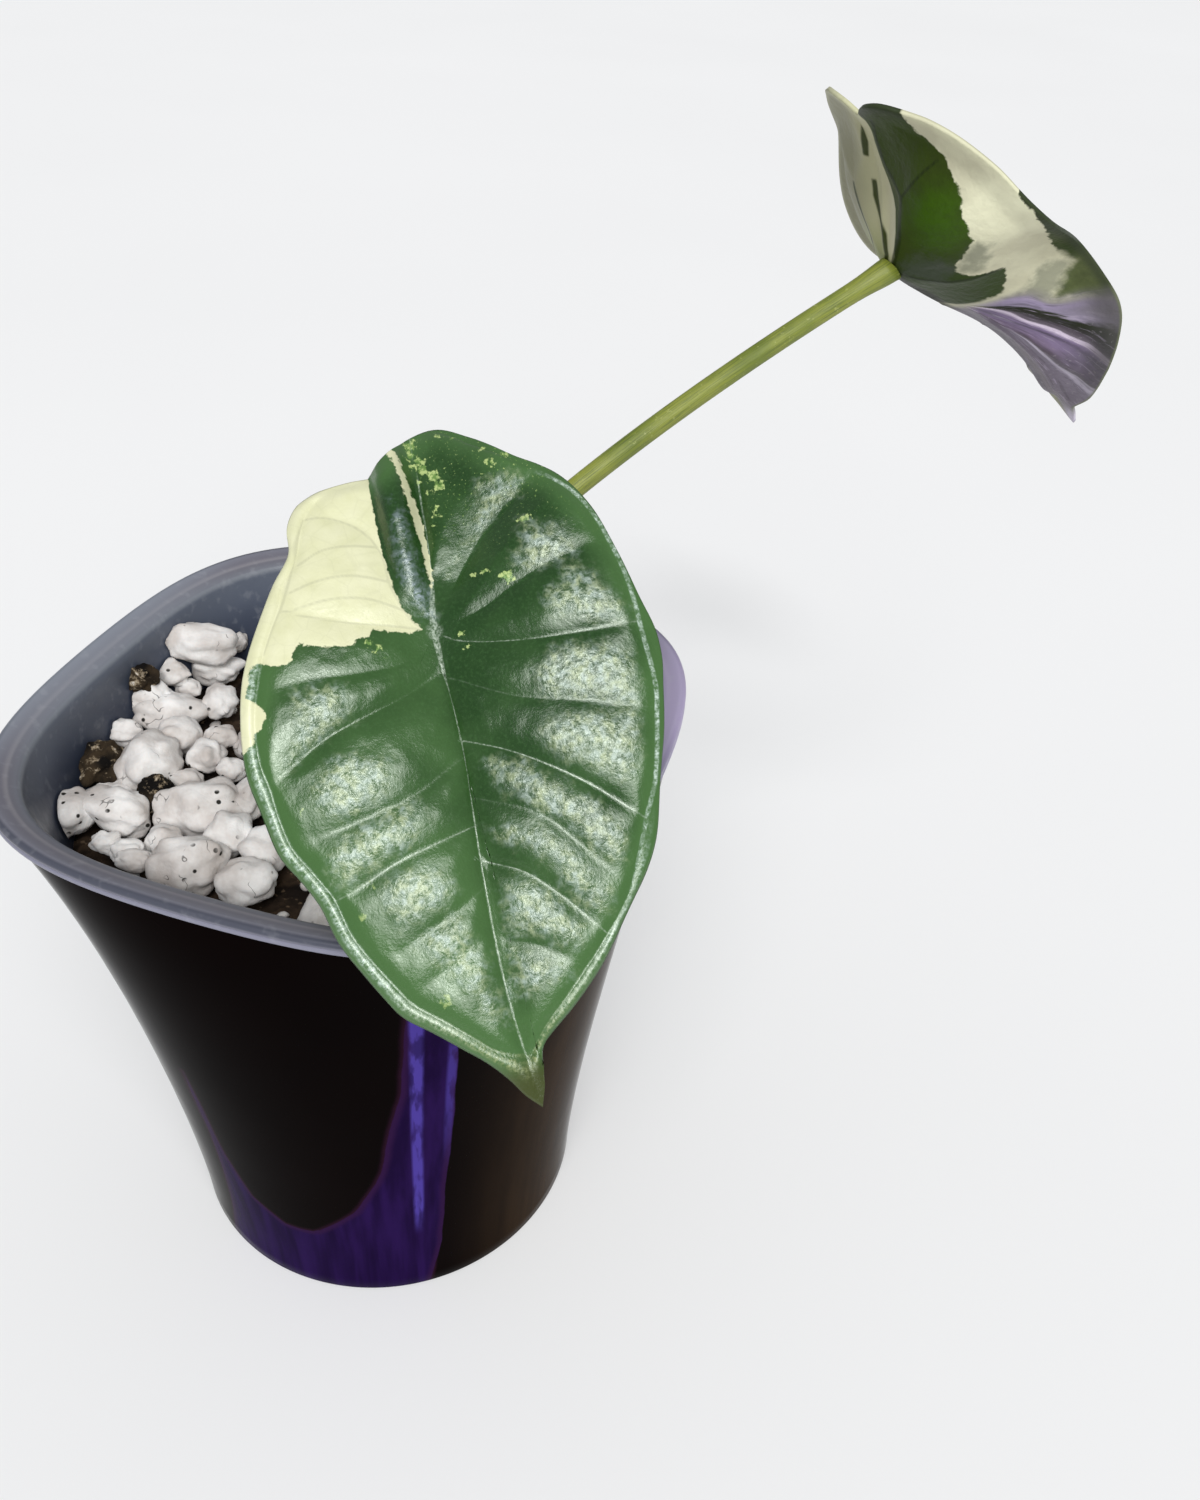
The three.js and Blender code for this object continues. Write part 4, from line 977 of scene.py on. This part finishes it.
def veinField(flat, veins, midrib):
    gap = np.full(len(flat), 1e9)
    side, pale, fold = np.zeros((3, len(flat)))
    for depth, behind, before, paleness, points in veins:
        line = dense(points, 40)
        distance, hand = lineDistance(flat, line)
        toMargin = smoothStep(0.0, 6.0, np.hypot(flat[:, 0] - line[-1][0], flat[:, 1] - line[-1][1]))
        depthHere = depth * (0.35 + 0.65 * toMargin)
        closer = distance < gap
        gap = np.where(closer, distance, gap)
        side = np.where(closer, distance * hand, side)
        pale = np.where(closer, paleness * (0.5 + 0.5 * toMargin), pale)
        rear = hand > 0 if line[-1][1] > 0 else hand < 0
        reach = np.where(rear, behind, before)
        slope = np.exp((0.35 - np.hypot(distance, 0.35)) / reach)
        if depth > 1.5:
            # the deepest fold slopes evenly
            slope = np.clip(1 - distance / (2 * reach), 0, 1)
        fold = np.maximum(fold, depthHere * slope)
    midGap, midHand = lineDistance(flat, dense(midrib, 60))
    fold = np.maximum(fold, 0.8 * np.exp((0.35 - np.hypot(midGap, 0.35)) / 1.2))
    return {"veinGap": gap, "veinSide": side, "veinPale": pale, "fold": fold,
            "midSide": midGap * midHand, "midGap": midGap}


def bladeMargin(right, left, steps):
    return np.vstack([dense(right, steps + 1), dense(left, steps + 1)[-2:0:-1]])


def marginGap(flat, margin):
    return lineDistance(flat, np.vstack([margin[::2], margin[:1]]))[0]


def ridgeNoise(flat, scale, seed):
    return np.array([noise.noise(Vector((p[0] * scale, p[1] * scale, seed))) for p in flat])


def frontFrame():
    seat, tip, across = (np.array(frontLeaf[key]) for key in ("seat", "tip", "across"))
    tip, across = unit(tip), unit(across)
    normal = unit(np.cross(tip, across))
    return seat, tip, across, normal if normal[2] > 0 else -normal


def frontBladeAt(flat, margin):
    facts = frontLeaf
    seat, tip, across, normal = frontFrame()
    u, w = flat.T
    length = facts["length"]
    arch = np.where(u >= 0, facts["arch"] * u * (1 - u / length) / length,
                    facts["arch"] * u / length - facts["backDroop"] * u * u)
    # the blade is dished round the stalk, and the dish narrows to a groove toward the tip
    taper = np.exp(-((np.maximum(u, 0) / facts["dishTaper"]) ** 2))
    depth, width = (facts[key][0] + facts[key][1] * taper for key in ("dishDepth", "dishWidth"))
    dish = depth * (1 - np.exp(-((np.abs(w) / width) ** 1.3))) * smoothStep(-36, 8, u)
    rightLobe, leftLobe = facts["lobeLift"]
    lobes = np.maximum(10 - u, 0) * (rightLobe * smoothStep(6, 20, w) + leftLobe * smoothStep(6, 20, -w))
    droop = facts["sideDroop"] * np.maximum(-w - 10, 0) ** 2 * smoothStep(12, 26, u) + facts["droop"] * w * w
    web = facts["web"]
    web = (web["slope"] * np.clip(web["start"] - u, 0, web["reach"])
           * np.exp(-np.abs((w - web["centre"]) / web["width"]) ** 3))
    marks = veinField(flat, facts["veins"], facts["midrib"])
    gap = marginGap(flat, margin)
    hub = smoothStep(*hubFade, np.hypot(u, w))
    rimSide = np.full(len(flat), 1e9)
    for points in facts["rimVeins"]:
        distance, hand = lineDistance(flat, dense(points, 90))
        rimSide = np.where(distance < np.abs(rimSide), distance * hand, rimSide)
    inner = np.maximum(-rimSide, 0.0)
    outer = np.maximum(rimSide, 0.0)
    fold = np.maximum(marks["fold"], 0.6 * np.exp((0.3 - np.hypot(inner, 0.3)) / 1.2))
    nearest = np.minimum(marks["veinGap"], marks["midGap"])
    panels = (facts["panelRise"] - fold - 0.35 * np.exp(-nearest / 4)) * smoothStep(-0.5, 2.5, gap) * hub
    puckers = sum(size * ridgeNoise(flat, scale, seed) for size, scale, seed in facts["puckers"])
    puckers = puckers * smoothStep(0.3, 2.5, inner) * smoothStep(0.3, 2.0, marks["veinGap"]) * hub
    # the margin: a rolled lip on the left and toward the tip, turned down on the right
    lipShare = np.maximum(smoothStep(0.0, -6.0, w), smoothStep(30.0, 48.0, u))
    roll = np.clip(outer / (outer + gap + 1e-6), 0, 1)
    lip = facts["lipHeight"] * np.sin(np.pi * roll) * smoothStep(0.0, 0.8, outer)
    turned = -facts["turnDown"] * outer * (1 - lipShare) * smoothStep(-26, -18, u)
    height = arch + dish + lobes - droop + web + panels - hubDip * hub + puckers + lip * lipShare + turned
    space = seat + u[:, None] * tip + w[:, None] * across + height[:, None] * normal
    marks.pop("fold")
    marks.update(edgeGap=gap, rimSide=rimSide, lipShare=lipShare, rollShare=roll)
    marks["cream"] = shapeDepth(flat, facts["cream"])
    marks["silverHighlight"] = shapeDepth(flat, facts["silverHighlight"])
    marks["fleck"] = np.max([half - np.hypot(u - along, w - beside)
                             for along, beside, half in facts["flecks"]], axis=0)
    marks["creamLine"] = np.min([lineDistance(flat, dense(line, 40))[0]
                                 for line in facts["creamLines"]], axis=0)
    return space, marks


def addFrontLeaf(materials):
    margin = bladeMargin(frontLeaf["right"], frontLeaf["left"], frontLeaf["marginSteps"])
    bm = bladeGrid(margin, frontLeaf["rings"])
    finishBlade("frontLeaf", bm, lambda flat: frontBladeAt(flat, margin), frontLeaf, materials, "front_leaf")
    print("front leaf ready")


def bentSheet(places):
    known = np.array(places, float)
    spots, ends = known[:, :2], known[:, 2:]

    def bulge(distance):
        return np.where(distance > 1e-9, distance ** 2 * np.log(np.maximum(distance, 1e-9)), 0.0)

    count = len(spots)
    matrix = np.zeros((count + 3, count + 3))
    matrix[:count, :count] = bulge(np.linalg.norm(spots[:, None] - spots[None], axis=2))
    matrix[:count, count:] = np.c_[np.ones(count), spots]
    matrix[count:, :count] = matrix[:count, count:].T
    weights = np.linalg.solve(matrix, np.vstack([ends, np.zeros((3, 3))]))

    def at(flat):
        terms = np.c_[bulge(np.linalg.norm(flat[:, None] - spots[None], axis=2)), np.ones(len(flat)), flat]
        return terms @ weights

    return at


def fanNumber(flat, lines):
    # a whole number on each line and a share between two of them
    number = np.full(len(flat), -1.0)
    above = None
    for index, points in enumerate(lines):
        distance, hand = lineDistance(flat, dense(points, 50))
        below = distance * hand
        if above is None:
            number = np.minimum(below * 0.15, -0.001)
        else:
            inLane = (above >= 0) & (below < 0)
            number = np.where(inLane, index - 1 + above / np.maximum(above - below, 1e-6), number)
        above = below
    return np.where(above >= 0, len(lines) - 1 + above, number)


def addBackLeaf(materials):
    facts = backLeaf
    left = [(u, -w) for u, w in facts["half"]]
    margin = bladeMargin(facts["half"], left, facts["marginSteps"])
    sheet = bentSheet(facts["places"])
    veins = facts["nearVeins"] + facts["farVeins"]

    def spaceAt(flat):
        u, w = flat.T
        step = 0.4
        along = sheet(flat + (step, 0)) - sheet(flat - (step, 0))
        across = sheet(flat + (0, step)) - sheet(flat - (0, step))
        normal = np.cross(along, across)
        normal = normal / np.linalg.norm(normal, axis=1)[:, None]
        marks = veinField(flat, veins, facts["midrib"])
        gap = marginGap(flat, margin)
        hub = smoothStep(*hubFade, np.hypot(u, w))
        panels = (facts["panelRise"] - marks["fold"]) * smoothStep(0.0, 5.0, gap) * hub
        number = fanNumber(flat, facts["fan"])
        inFan = smoothStep(16, 25, u) * smoothStep(0.0, 2.5, gap) * (w < 0)
        for centre, depth, half in facts["pleats"]:
            panels = panels - depth * inFan * np.exp(-(((number - centre) / half) ** 2))
        space = sheet(flat) + (panels - hubDip * hub)[:, None] * normal
        amount, *reach = facts["drawnIn"]
        space[:, 0] -= amount * smoothStep(*reach, space[:, 0])
        marks.pop("fold")
        marks.update(edgeGap=gap, pleat=number)
        for key in ("green", "lens", "smokySheen"):
            marks[key] = shapeDepth(flat, facts[key])
        marks["darkLine"] = np.max([half - lineDistance(flat, dense(line, 40))[0]
                                    for half, line in facts["darkLines"]], axis=0)
        return space, marks

    bm = bladeGrid(margin, facts["rings"])
    finishBlade("backLeaf", bm, spaceAt, facts, materials, "back_leaf")
    print("back leaf ready")


def thinLine(paint, kind, width, soft):
    line = abs(paint.value(kind + "Side")).ramp(width, width + soft, 1, 0)
    return line * paint.value(kind + "Gap").ramp(0.9, 1.4, 1, 0)


def frontTopPaint():
    paint = Paint("platinumLeafTop")
    flat = paint.flat()
    u, w, _ = flat.split()
    wide = flat.noise(9, 3)
    # deep green beside the midrib on the right, lighter to the left, the tip and the margins
    light = (w.ramp(-0.02, 0.02, 0.4, 0) * u.ramp(-0.15, 0) + u.ramp(0.1, 0.55, 0, 0.45)
             + paint.value("edgeGap").ramp(0.5, 6, 0.95, 0) + wide.ramp(0.3, 0.7, -0.12, 0.28))
    tipShare = (u + wide * 0.05).ramp(0.625, 0.675)
    # pale mottling: the spots that show, and a dust of tiny ones toward the rear edge
    flake = flat.noise(95, 4, 0.65)
    spots = paint.value("fleck").ragged(flake, 3.4).ramp(0.1, 0.4) * u.ramp(0.1, 0.2, 1, 0.55)
    dust = (flat.noise(240, 3, 0.6).ramp(0.62, 0.68) * u.ramp(-0.2, -0.06, 0.85, 0)
            * w.ramp(0.015, 0.035))
    spotTone = flake.ramp(0.48, 0.6).mix((0.13, 0.24, 0.055), (0.42, 0.52, 0.2))
    # painted highlight over the leaf's own silver: flakes over the swellings between the veins, bluer along
    # the right of the midrib's rear end
    patch = paint.value("silverHighlight").ragged(flat.noise(40, 5, 0.65), 6.5).ramp(-0.8, 3)
    flakes = flat.noise(90, 5, 0.72, 0.5).ramp(0.38, 0.6, 0.08, 1)
    silverHighlightTone = flat.noise(60).ramp(0.35, 0.65).mix((0.5, 0.57, 0.35), (0.48, 0.58, 0.53))
    silverHighlightTone = (w.ramp(0.01, 0.004) * u.ramp(-0.005, -0.02)).mix(silverHighlightTone, (0.48, 0.56, 0.66))
    # pale broken lines: the midrib, wide at the stalk, and those side veins that show one
    vein = thinLine(paint, "vein", 0.04, 0.15) * paint.value("veinPale")
    hub = flat.away((0, 0, 0))
    midGap = paint.value("midGap") - hub.ramp(0, 0.1, 1, 0) * 0.35
    mid = most(midGap.ramp(0.1, 0.32, 1, 0) * u.ramp(0.58, 0.61, 1, 0), hub.ramp(0.008, 0.016, 0.7, 0))
    broken = (flat.noise(140, 3, 0.7).ramp(0.35, 0.62, 0.08, 1)
              * flat.noise(260, 3, 0.7).ramp(0.38, 0.58, 0.35, 1))
    # the collective vein: silver-teal on the right, a rolled silver-green band elsewhere whose crest carries
    # a painted highlight
    lipShare = paint.value("lipShare")
    roll = paint.value("rollShare")
    rimLine = abs(paint.value("rimSide") - 0.15).ramp(0.16, 0.46, 1, 0) * (1 - lipShare * 0.6)
    crestHighlight = roll.ramp(0.15, 0.36) * roll.ramp(0.5, 0.8, 1, 0) * lipShare
    patchy = flat.noise(60, 4, 0.65).ramp(0.35, 0.6, 0.35, 1)
    rimSilverAndHighlight = (most(rimLine, crestHighlight) * (patchy * broken) * u.ramp(-0.21, -0.17)
              * (1 - tipShare * 0.7))
    rimTone = u.ramp(0.44, 0.62).mix((0.56, 0.68, 0.6), (0.34, 0.38, 0.18))
    green = over(
        light.mix((0.009, 0.042, 0.005), (0.05, 0.122, 0.032)),
        (flat.noise(190, 3, 0.6).ramp(0.45, 0.75, 0, 0.25), (0.06, 0.15, 0.045)),
        (tipShare, (0.04, 0.052, 0.008)), (most(spots, dust), spotTone), (patch * flakes * 0.62, silverHighlightTone),
        (most(vein, mid) * broken * 0.7, (0.48, 0.56, 0.46)), (rimSilverAndHighlight * 0.9, rimTone))
    # cream, with grey-green lines and a net of faint ones
    creamShare = paint.value("cream").ragged(flat.noise(90, 5, 0.65), 1.6).ramp(-0.12, 0.12)
    creamLine = paint.value("creamLine").ramp(0.05, 0.35, 0.45, 0)
    net = flat.cells(30, "DISTANCE_TO_EDGE").ramp(0.01, 0.045, 0.1, 0)
    creamTone = flat.noise(30, 3).mix((0.6, 0.605, 0.35), (0.74, 0.735, 0.52))
    creamTone = most(creamLine, net).mix(creamTone, (0.43, 0.43, 0.29))
    height = (flat.noise(230, 2, 0.6) * 0.55 + flat.noise(75) * 0.5) * patch.ramp(0, 1, 0.35, 1)
    return paint.skin(creamShare.mix(green, creamTone), height, 0.42, 0.0005,
                      Roughness=creamShare.ramp(0, 1, 0.24, 0.36), Specular_IOR_Level=0.62,
                      Specular_Tint=(0.93, 1, 0.9, 1))


def frontUnderPaint():
    paint = Paint("platinumLeafUnder")
    flat = paint.flat()
    creamShare = paint.value("cream").ragged(flat.noise(90, 5, 0.65), 2.4).ramp(-0.15, 0.15)
    lines = most(thinLine(paint, "vein", 0.25, 0.3), thinLine(paint, "mid", 0.5, 0.4))
    colour = over(flat.noise(12, 3).mix((0.12, 0.19, 0.085), (0.19, 0.26, 0.12)),
                  (creamShare, (0.64, 0.63, 0.4)), (lines * 0.6, (0.3, 0.33, 0.17)))
    return paint.skin(colour, flat.noise(120, 3), 0.3, 0.0006, Roughness=0.5, Specular_IOR_Level=0.4)


def backUnderPaint():
    paint = Paint("backLeafUnder")
    flat = paint.flat()
    u, w, _ = flat.split()
    edge = paint.value("edgeGap")
    cloud = flat.noise(32, 4, 0.6)
    # cream: painted light makes it brightest in the middle, grey-beige on the narrow strip beyond the
    # midrib, and a painted highlight pales the margin
    bright = (flat.away((-0.085, -0.22, 0)).ramp(0.02, 0.13, 1, 0)
              + flat.noise(12, 3).ramp(0.35, 0.65, -0.15, 0.25))
    stripTone = w.ramp(0.01, 0.09).mix((0.45, 0.44, 0.27), (0.285, 0.28, 0.185))
    stripTone = (u.ramp(-0.1, 0) * w.ramp(0.06, 0.16, 1, 0)).mix(stripTone, (0.29, 0.32, 0.12))
    creamTone = over(bright.mix((0.54, 0.52, 0.37), (0.83, 0.82, 0.59)), (w.ramp(-0.03, 0.01), stripTone),
                     (edge.ramp(0.2, 1.6, 0.32, 0), (0.68, 0.69, 0.47)))
    # greens: olive, with painted light making it brighter low down and painted shade making it darkest along
    # the top and beside the stalk
    lit = flat.away((-0.1, -0.135, 0)).ramp(0.02, 0.1, 1, 0)
    greenTone = over(
        lit.mix((0.034, 0.056, 0.006), (0.042, 0.1, 0.003)),
        (u.ramp(-0.31, -0.26, 0.8, 0), (0.017, 0.036, 0.002)),
        (u.ramp(-0.05, 0.03, 0, 0.7), (0.024, 0.044, 0.006)), (u.ramp(0.17, 0.21), (0.088, 0.108, 0.04)),
        (edge.ramp(0.6, 2.2, 0.8, 0), (0.036, 0.046, 0.024)),
        (cloud.ramp(0.4, 0.7, 0, 0.35), (0.03, 0.04, 0.01)))
    jag = (flat.noise(45, 5, 0.6) - 0.5) * 2.4 * w.ramp(-0.06, -0.12)
    greenShare = ((paint.value("green") + jag) * u.ramp(0.1, 0.17, 1, 0.2)).ramp(-0.22, 0.22)
    # smoky veils over cream and green, partly a painted bluish-grey sheen
    veil = paint.value("smokySheen").ragged(cloud, 6).ramp(-1.2, 1.6)
    # the fan of pleats: lilac, dark green, white-pink and violet in turn
    number = paint.value("pleat")
    lane = number + (paint.join(u * 9, number * 1.7).noise(1, 4, 0.6) - 0.5) * 0.7
    fanTone = lane.bands((
        (0, (0.21, 0.19, 0.22)), (0.35, (0.3, 0.25, 0.37)), (0.68, (0.25, 0.215, 0.3)),
        (0.86, (0.017, 0.02, 0.01)), (1.22, (0.024, 0.022, 0.018)), (1.5, (0.09, 0.072, 0.092)),
        (1.8, (0.15, 0.125, 0.155)), (1.94, (0.64, 0.55, 0.67)), (2.1, (0.64, 0.55, 0.67)),
        (2.36, (0.215, 0.165, 0.27)), (2.62, (0.13, 0.1, 0.165)), (3.1, (0.27, 0.205, 0.34)),
        (3.5, (0.205, 0.155, 0.24)), (3.78, (0.105, 0.08, 0.105)), (3.96, (0.6, 0.54, 0.66)),
        (4.1, (0.6, 0.54, 0.66)), (4.32, (0.21, 0.18, 0.235)), (5, (0.165, 0.138, 0.178)),
        (5.6, (0.205, 0.182, 0.205)), (6.4, (0.2, 0.185, 0.21))))
    faded = 1 - most(u.ramp(0.33, 0.42, 1, 0.45), number.ramp(3.2, 4.6))
    streak = paint.join(u * 11, number * 5.5).noise(1, 3, 0.6)
    flecks = flat.noise(85, 4, 0.6).ramp(0.6, 0.68, 0, 0.55) * u.ramp(0.3, 0.38)
    dim = edge.ramp(1, 7, 0.6, 0) * number.ramp(3.2, 4.4, 1, 0.2)
    misty = number.ramp(0.45, 0.95, 1, 0) * u.ramp(0.23, 0.33) * 0.75
    fanTone = over(
        fanTone, (faded, (0.105, 0.093, 0.118)), (streak.ramp(0.57, 0.66, 0, 0.5), (0.42, 0.36, 0.47)),
        (streak.ramp(0.44, 0.34, 0, 0.45), (0.06, 0.05, 0.07)), (flecks, (0.33, 0.3, 0.33)),
        (dim, (0.058, 0.06, 0.05)), (misty, (0.115, 0.108, 0.11)),
        (edge.ramp(0.1, 0.7, 0.8, 0), (0.14, 0.16, 0.085)), (u.ramp(0.59, 0.66), (0.56, 0.515, 0.62)))
    # the keel and the half behind it
    farTone = cloud.mix((0.235, 0.235, 0.16), (0.33, 0.325, 0.225))
    keel = (w.ramp(-0.032, -0.008) * u.ramp(0.005, 0.03) * u.ramp(0.15, 0.19, 0.8, 0)
            * w.ramp(0.004, 0.02, 1, 0))
    vein = thinLine(paint, "vein", 0.12, 0.22) * paint.value("veinPale")
    colour = over(
        creamTone, (veil * 0.8, (0.225, 0.232, 0.165)),
        (greenShare, (veil * 0.35).mix(greenTone, (0.085, 0.09, 0.095))),
        (paint.value("lens").ramp(-0.35, 0.25), (0.04, 0.052, 0.01)),
        (number.ramp(-0.38, 0.3) * u.ramp(0.14, 0.18), fanTone),
        (w.ramp(0, 0.02) * u.ramp(0.12, 0.22), farTone), (keel, (0.05, 0.047, 0.048)),
        (paint.value("darkLine").ramp(-0.3, 0.05, 0, 0.8), (0.014, 0.024, 0.004)),
        (vein * 0.6, (0.035, 0.05, 0.02)))
    return paint.skin(colour, flat.noise(70, 4), 0.25, 0.0008, Roughness=0.45, Specular_IOR_Level=0.12)


def backTopPaint():
    paint = Paint("backLeafTop")
    flat = paint.flat()
    u, w, _ = flat.split()
    wide = flat.noise(10, 3)
    greenShare = paint.value("green").ragged(flat.noise(60, 5, 0.65), 2.6).ramp(-0.15, 0.15)
    fanShare = (u * 100 + w * 42).ragged(flat.noise(26, 4), 9).ramp(9, 11)
    lines = most(thinLine(paint, "vein", 0.08, 0.18), thinLine(paint, "mid", 0.16, 0.22))
    colour = over(wide.mix((0.7, 0.7, 0.38), (0.81, 0.8, 0.52)),
                  (most(greenShare, fanShare), wide.mix((0.022, 0.09, 0.024), (0.05, 0.15, 0.04))),
                  (lines * 0.7, (0.42, 0.48, 0.38)))
    return paint.skin(colour, flat.noise(150, 3, 0.6), 0.5, 0.0009, Roughness=0.32, Specular_IOR_Level=0.6,
                      Specular_Tint=(0.86, 1, 0.93, 1), Coat_Weight=0.3, Coat_Roughness=0.22)


addFrontLeaf([frontTopPaint(), frontUnderPaint()])
addBackLeaf([backTopPaint(), backUnderPaint()])


# stalks and crown
stalks = {
    "radius": 1.85,
    "baseRadius": 2.9,
    # heights between which a stalk thins from its base
    "thins": (108.0, 132.0),
    "steps": 90,
    "sides": 24,
    "ribs": (5, 0.025),
    # swelling where it meets the blade: share of the radius, and how far back it reaches
    "flare": (0.30, 0.035),
    "seatGap": 0.3,
    # each stalk's straight foot, then the points its bend starts along
    "front": [(1.5, -3.8, 98), (1.5, -3.8, 104)],
    "frontBend": [(1.5, -3.8, 110), (1.5, -3.8, 132)],
    "frontTilt": 0.13,
    "frontArrival": 24,
    "back": [(1.5, 3.8, 98), (1.5, 3.8, 104)],
    "backBend": [(1.5, 3.8, 110), (1.8, 2.6, 138), (44, 57.8, 164.6)],
    # the crown: height and radius
    "crown": [(86, 8), (87, 9), (96, 9.2), (99, 8.8), (102, 9.1), (105, 8.6), (107.5, 7.9), (109.5, 6.8),
              (111, 5.2), (111.6, 3.6)],
}


def bendLine(a, b, c, d, count):
    a, b, c, d = (np.array(p, float) for p in (a, b, c, d))
    t = np.linspace(0, 1, count)[:, None]
    return (1 - t) ** 3 * a + 3 * (1 - t) ** 2 * t * b + 3 * (1 - t) * t * t * c + t ** 3 * d


def stalkPaint(name):
    paint = Paint(name)
    coords = paint.coords()
    fibres = paint.flat().stretch((0.6, 60, 1)).noise(1.5, 3, 0.6)
    colour = over(coords.noise(70, 3).ramp(0.35, 0.65).mix((0.145, 0.185, 0.022), (0.235, 0.262, 0.04)),
                  (fibres.ramp(0.5, 0.6, 0, 0.7), (0.07, 0.1, 0.02)),
                  (coords.noise(900, 3, 0.6).ramp(0.62, 0.72, 0, 0.5), (0.42, 0.45, 0.16)))
    return paint.skin(colour, fibres, 0.35, 0.0003, Roughness=0.42, Specular_IOR_Level=0.4,
                      Subsurface_Weight=0.08, Subsurface_Radius=(0.002, 0.003, 0.001), Subsurface_Scale=0.3)


def addStalk(name, line, seat, normal, node):
    line = dense(line, stalks["steps"])
    sides = stalks["sides"]
    bm = bmesh.new()
    alongLayer = bm.verts.layers.float.new("along")
    roundLayer = bm.verts.layers.float.new("around")
    ring = bmesh.ops.create_circle(bm, segments=sides, radius=1.0)["verts"]
    side = np.array((1.0, 0.0, 0.0))
    run = 0.0
    ribs, ribHeight = stalks["ribs"]
    flare, flareReach = stalks["flare"]
    for index, point in enumerate(line):
        if index:
            run += float(np.linalg.norm(point - line[index - 1]))
            ring = raiseRing(bm, ring)
        ahead = unit(line[min(index + 1, len(line) - 1)] - line[max(index - 1, 0)])
        side = unit(side - ahead * side.dot(ahead))
        other = np.cross(ahead, side)
        share = float(smoothStep(*stalks["thins"], point[2]))
        radius = stalks["baseRadius"] + (stalks["radius"] - stalks["baseRadius"]) * share
        toEnd = 1 - index / (len(line) - 1)
        radius *= 1 + flare * math.exp(-(toEnd / flareReach) ** 2)
        for k, vert in enumerate(ring):
            angle = 2 * math.pi * k / sides
            ridge = 1 + ribHeight * math.cos(ribs * angle)
            place = point + radius * ridge * (math.cos(angle) * side + math.sin(angle) * other)
            if index == len(line) - 1:
                place = place + ahead * (np.dot(seat - place, normal) / np.dot(ahead, normal))
            vert.co = Vector(place) * mm
            vert[alongLayer] = run
            vert[roundLayer] = k / sides
        if index == 0:
            bmesh.ops.contextual_create(bm, geom=ring)
    bmesh.ops.contextual_create(bm, geom=ring)
    bmesh.ops.recalc_face_normals(bm, faces=bm.faces)
    uv = bm.loops.layers.uv.new("flat")
    for face in bm.faces:
        wraps = {loop.vert[roundLayer] for loop in face.loops}
        for loop in face.loops:
            turn = loop.vert[roundLayer]
            if turn == 0.0 and len(face.loops) == 4 and max(wraps) > 0.9:
                turn = 1.0
            loop[uv].uv = (loop.vert[alongLayer] / 10, turn)
    newPiece(name, bm, [stalkPaint(name + "Skin")], [node])


def crownPaint():
    paint = Paint("crownSheath")
    fibres = paint.coords().stretch((90, 90, 6)).noise(4, 4, 0.6)
    colour = fibres.ramp(0.4, 0.6).mix((0.085, 0.07, 0.03), (0.23, 0.24, 0.08))
    return paint.skin(colour, fibres, 0.6, 0.0008, Roughness=0.7)


def addStalksAndCrown():
    frontSeat, tip, _, normal = frontFrame()
    seatNormal = unit(normal - stalks["frontTilt"] * tip)
    under = frontSeat - seatNormal * stalks["seatGap"]
    bend = bendLine(*stalks["frontBend"], under - seatNormal * stalks["frontArrival"], under, 40)
    addStalk("frontStalk", np.vstack([stalks["front"], bend]), under, seatNormal, "front_stalk")

    sheet = bentSheet(backLeaf["places"])
    seat = sheet(np.zeros((1, 2)))[0]
    along, width = (sheet(np.array([step])) - sheet(-np.array([step])) for step in ((0.5, 0.0), (0.0, 0.5)))
    backNormal = unit(np.cross(along[0], width[0]))
    if np.dot(backNormal, seat - np.array(stalks["backBend"][2])) < 0:
        backNormal = -backNormal
    under = seat - backNormal * stalks["seatGap"]
    bend = bendLine(*stalks["backBend"], under, 60)
    addStalk("backStalk", np.vstack([stalks["back"], bend]), under, backNormal, "back_stalk")

    bm = bmesh.new()
    loops = [lambda a, z=z, r=r: (r + 0.35 * math.sin(3 * a + z) + 0.2 * math.sin(7 * a - z), z)
             for z, r in stalks["crown"]]
    raiseWall(bm, loops, 72)
    newPiece("crown", bm, [crownPaint()], ["crown"])
    print("stalks and crown ready")


addStalksAndCrown()
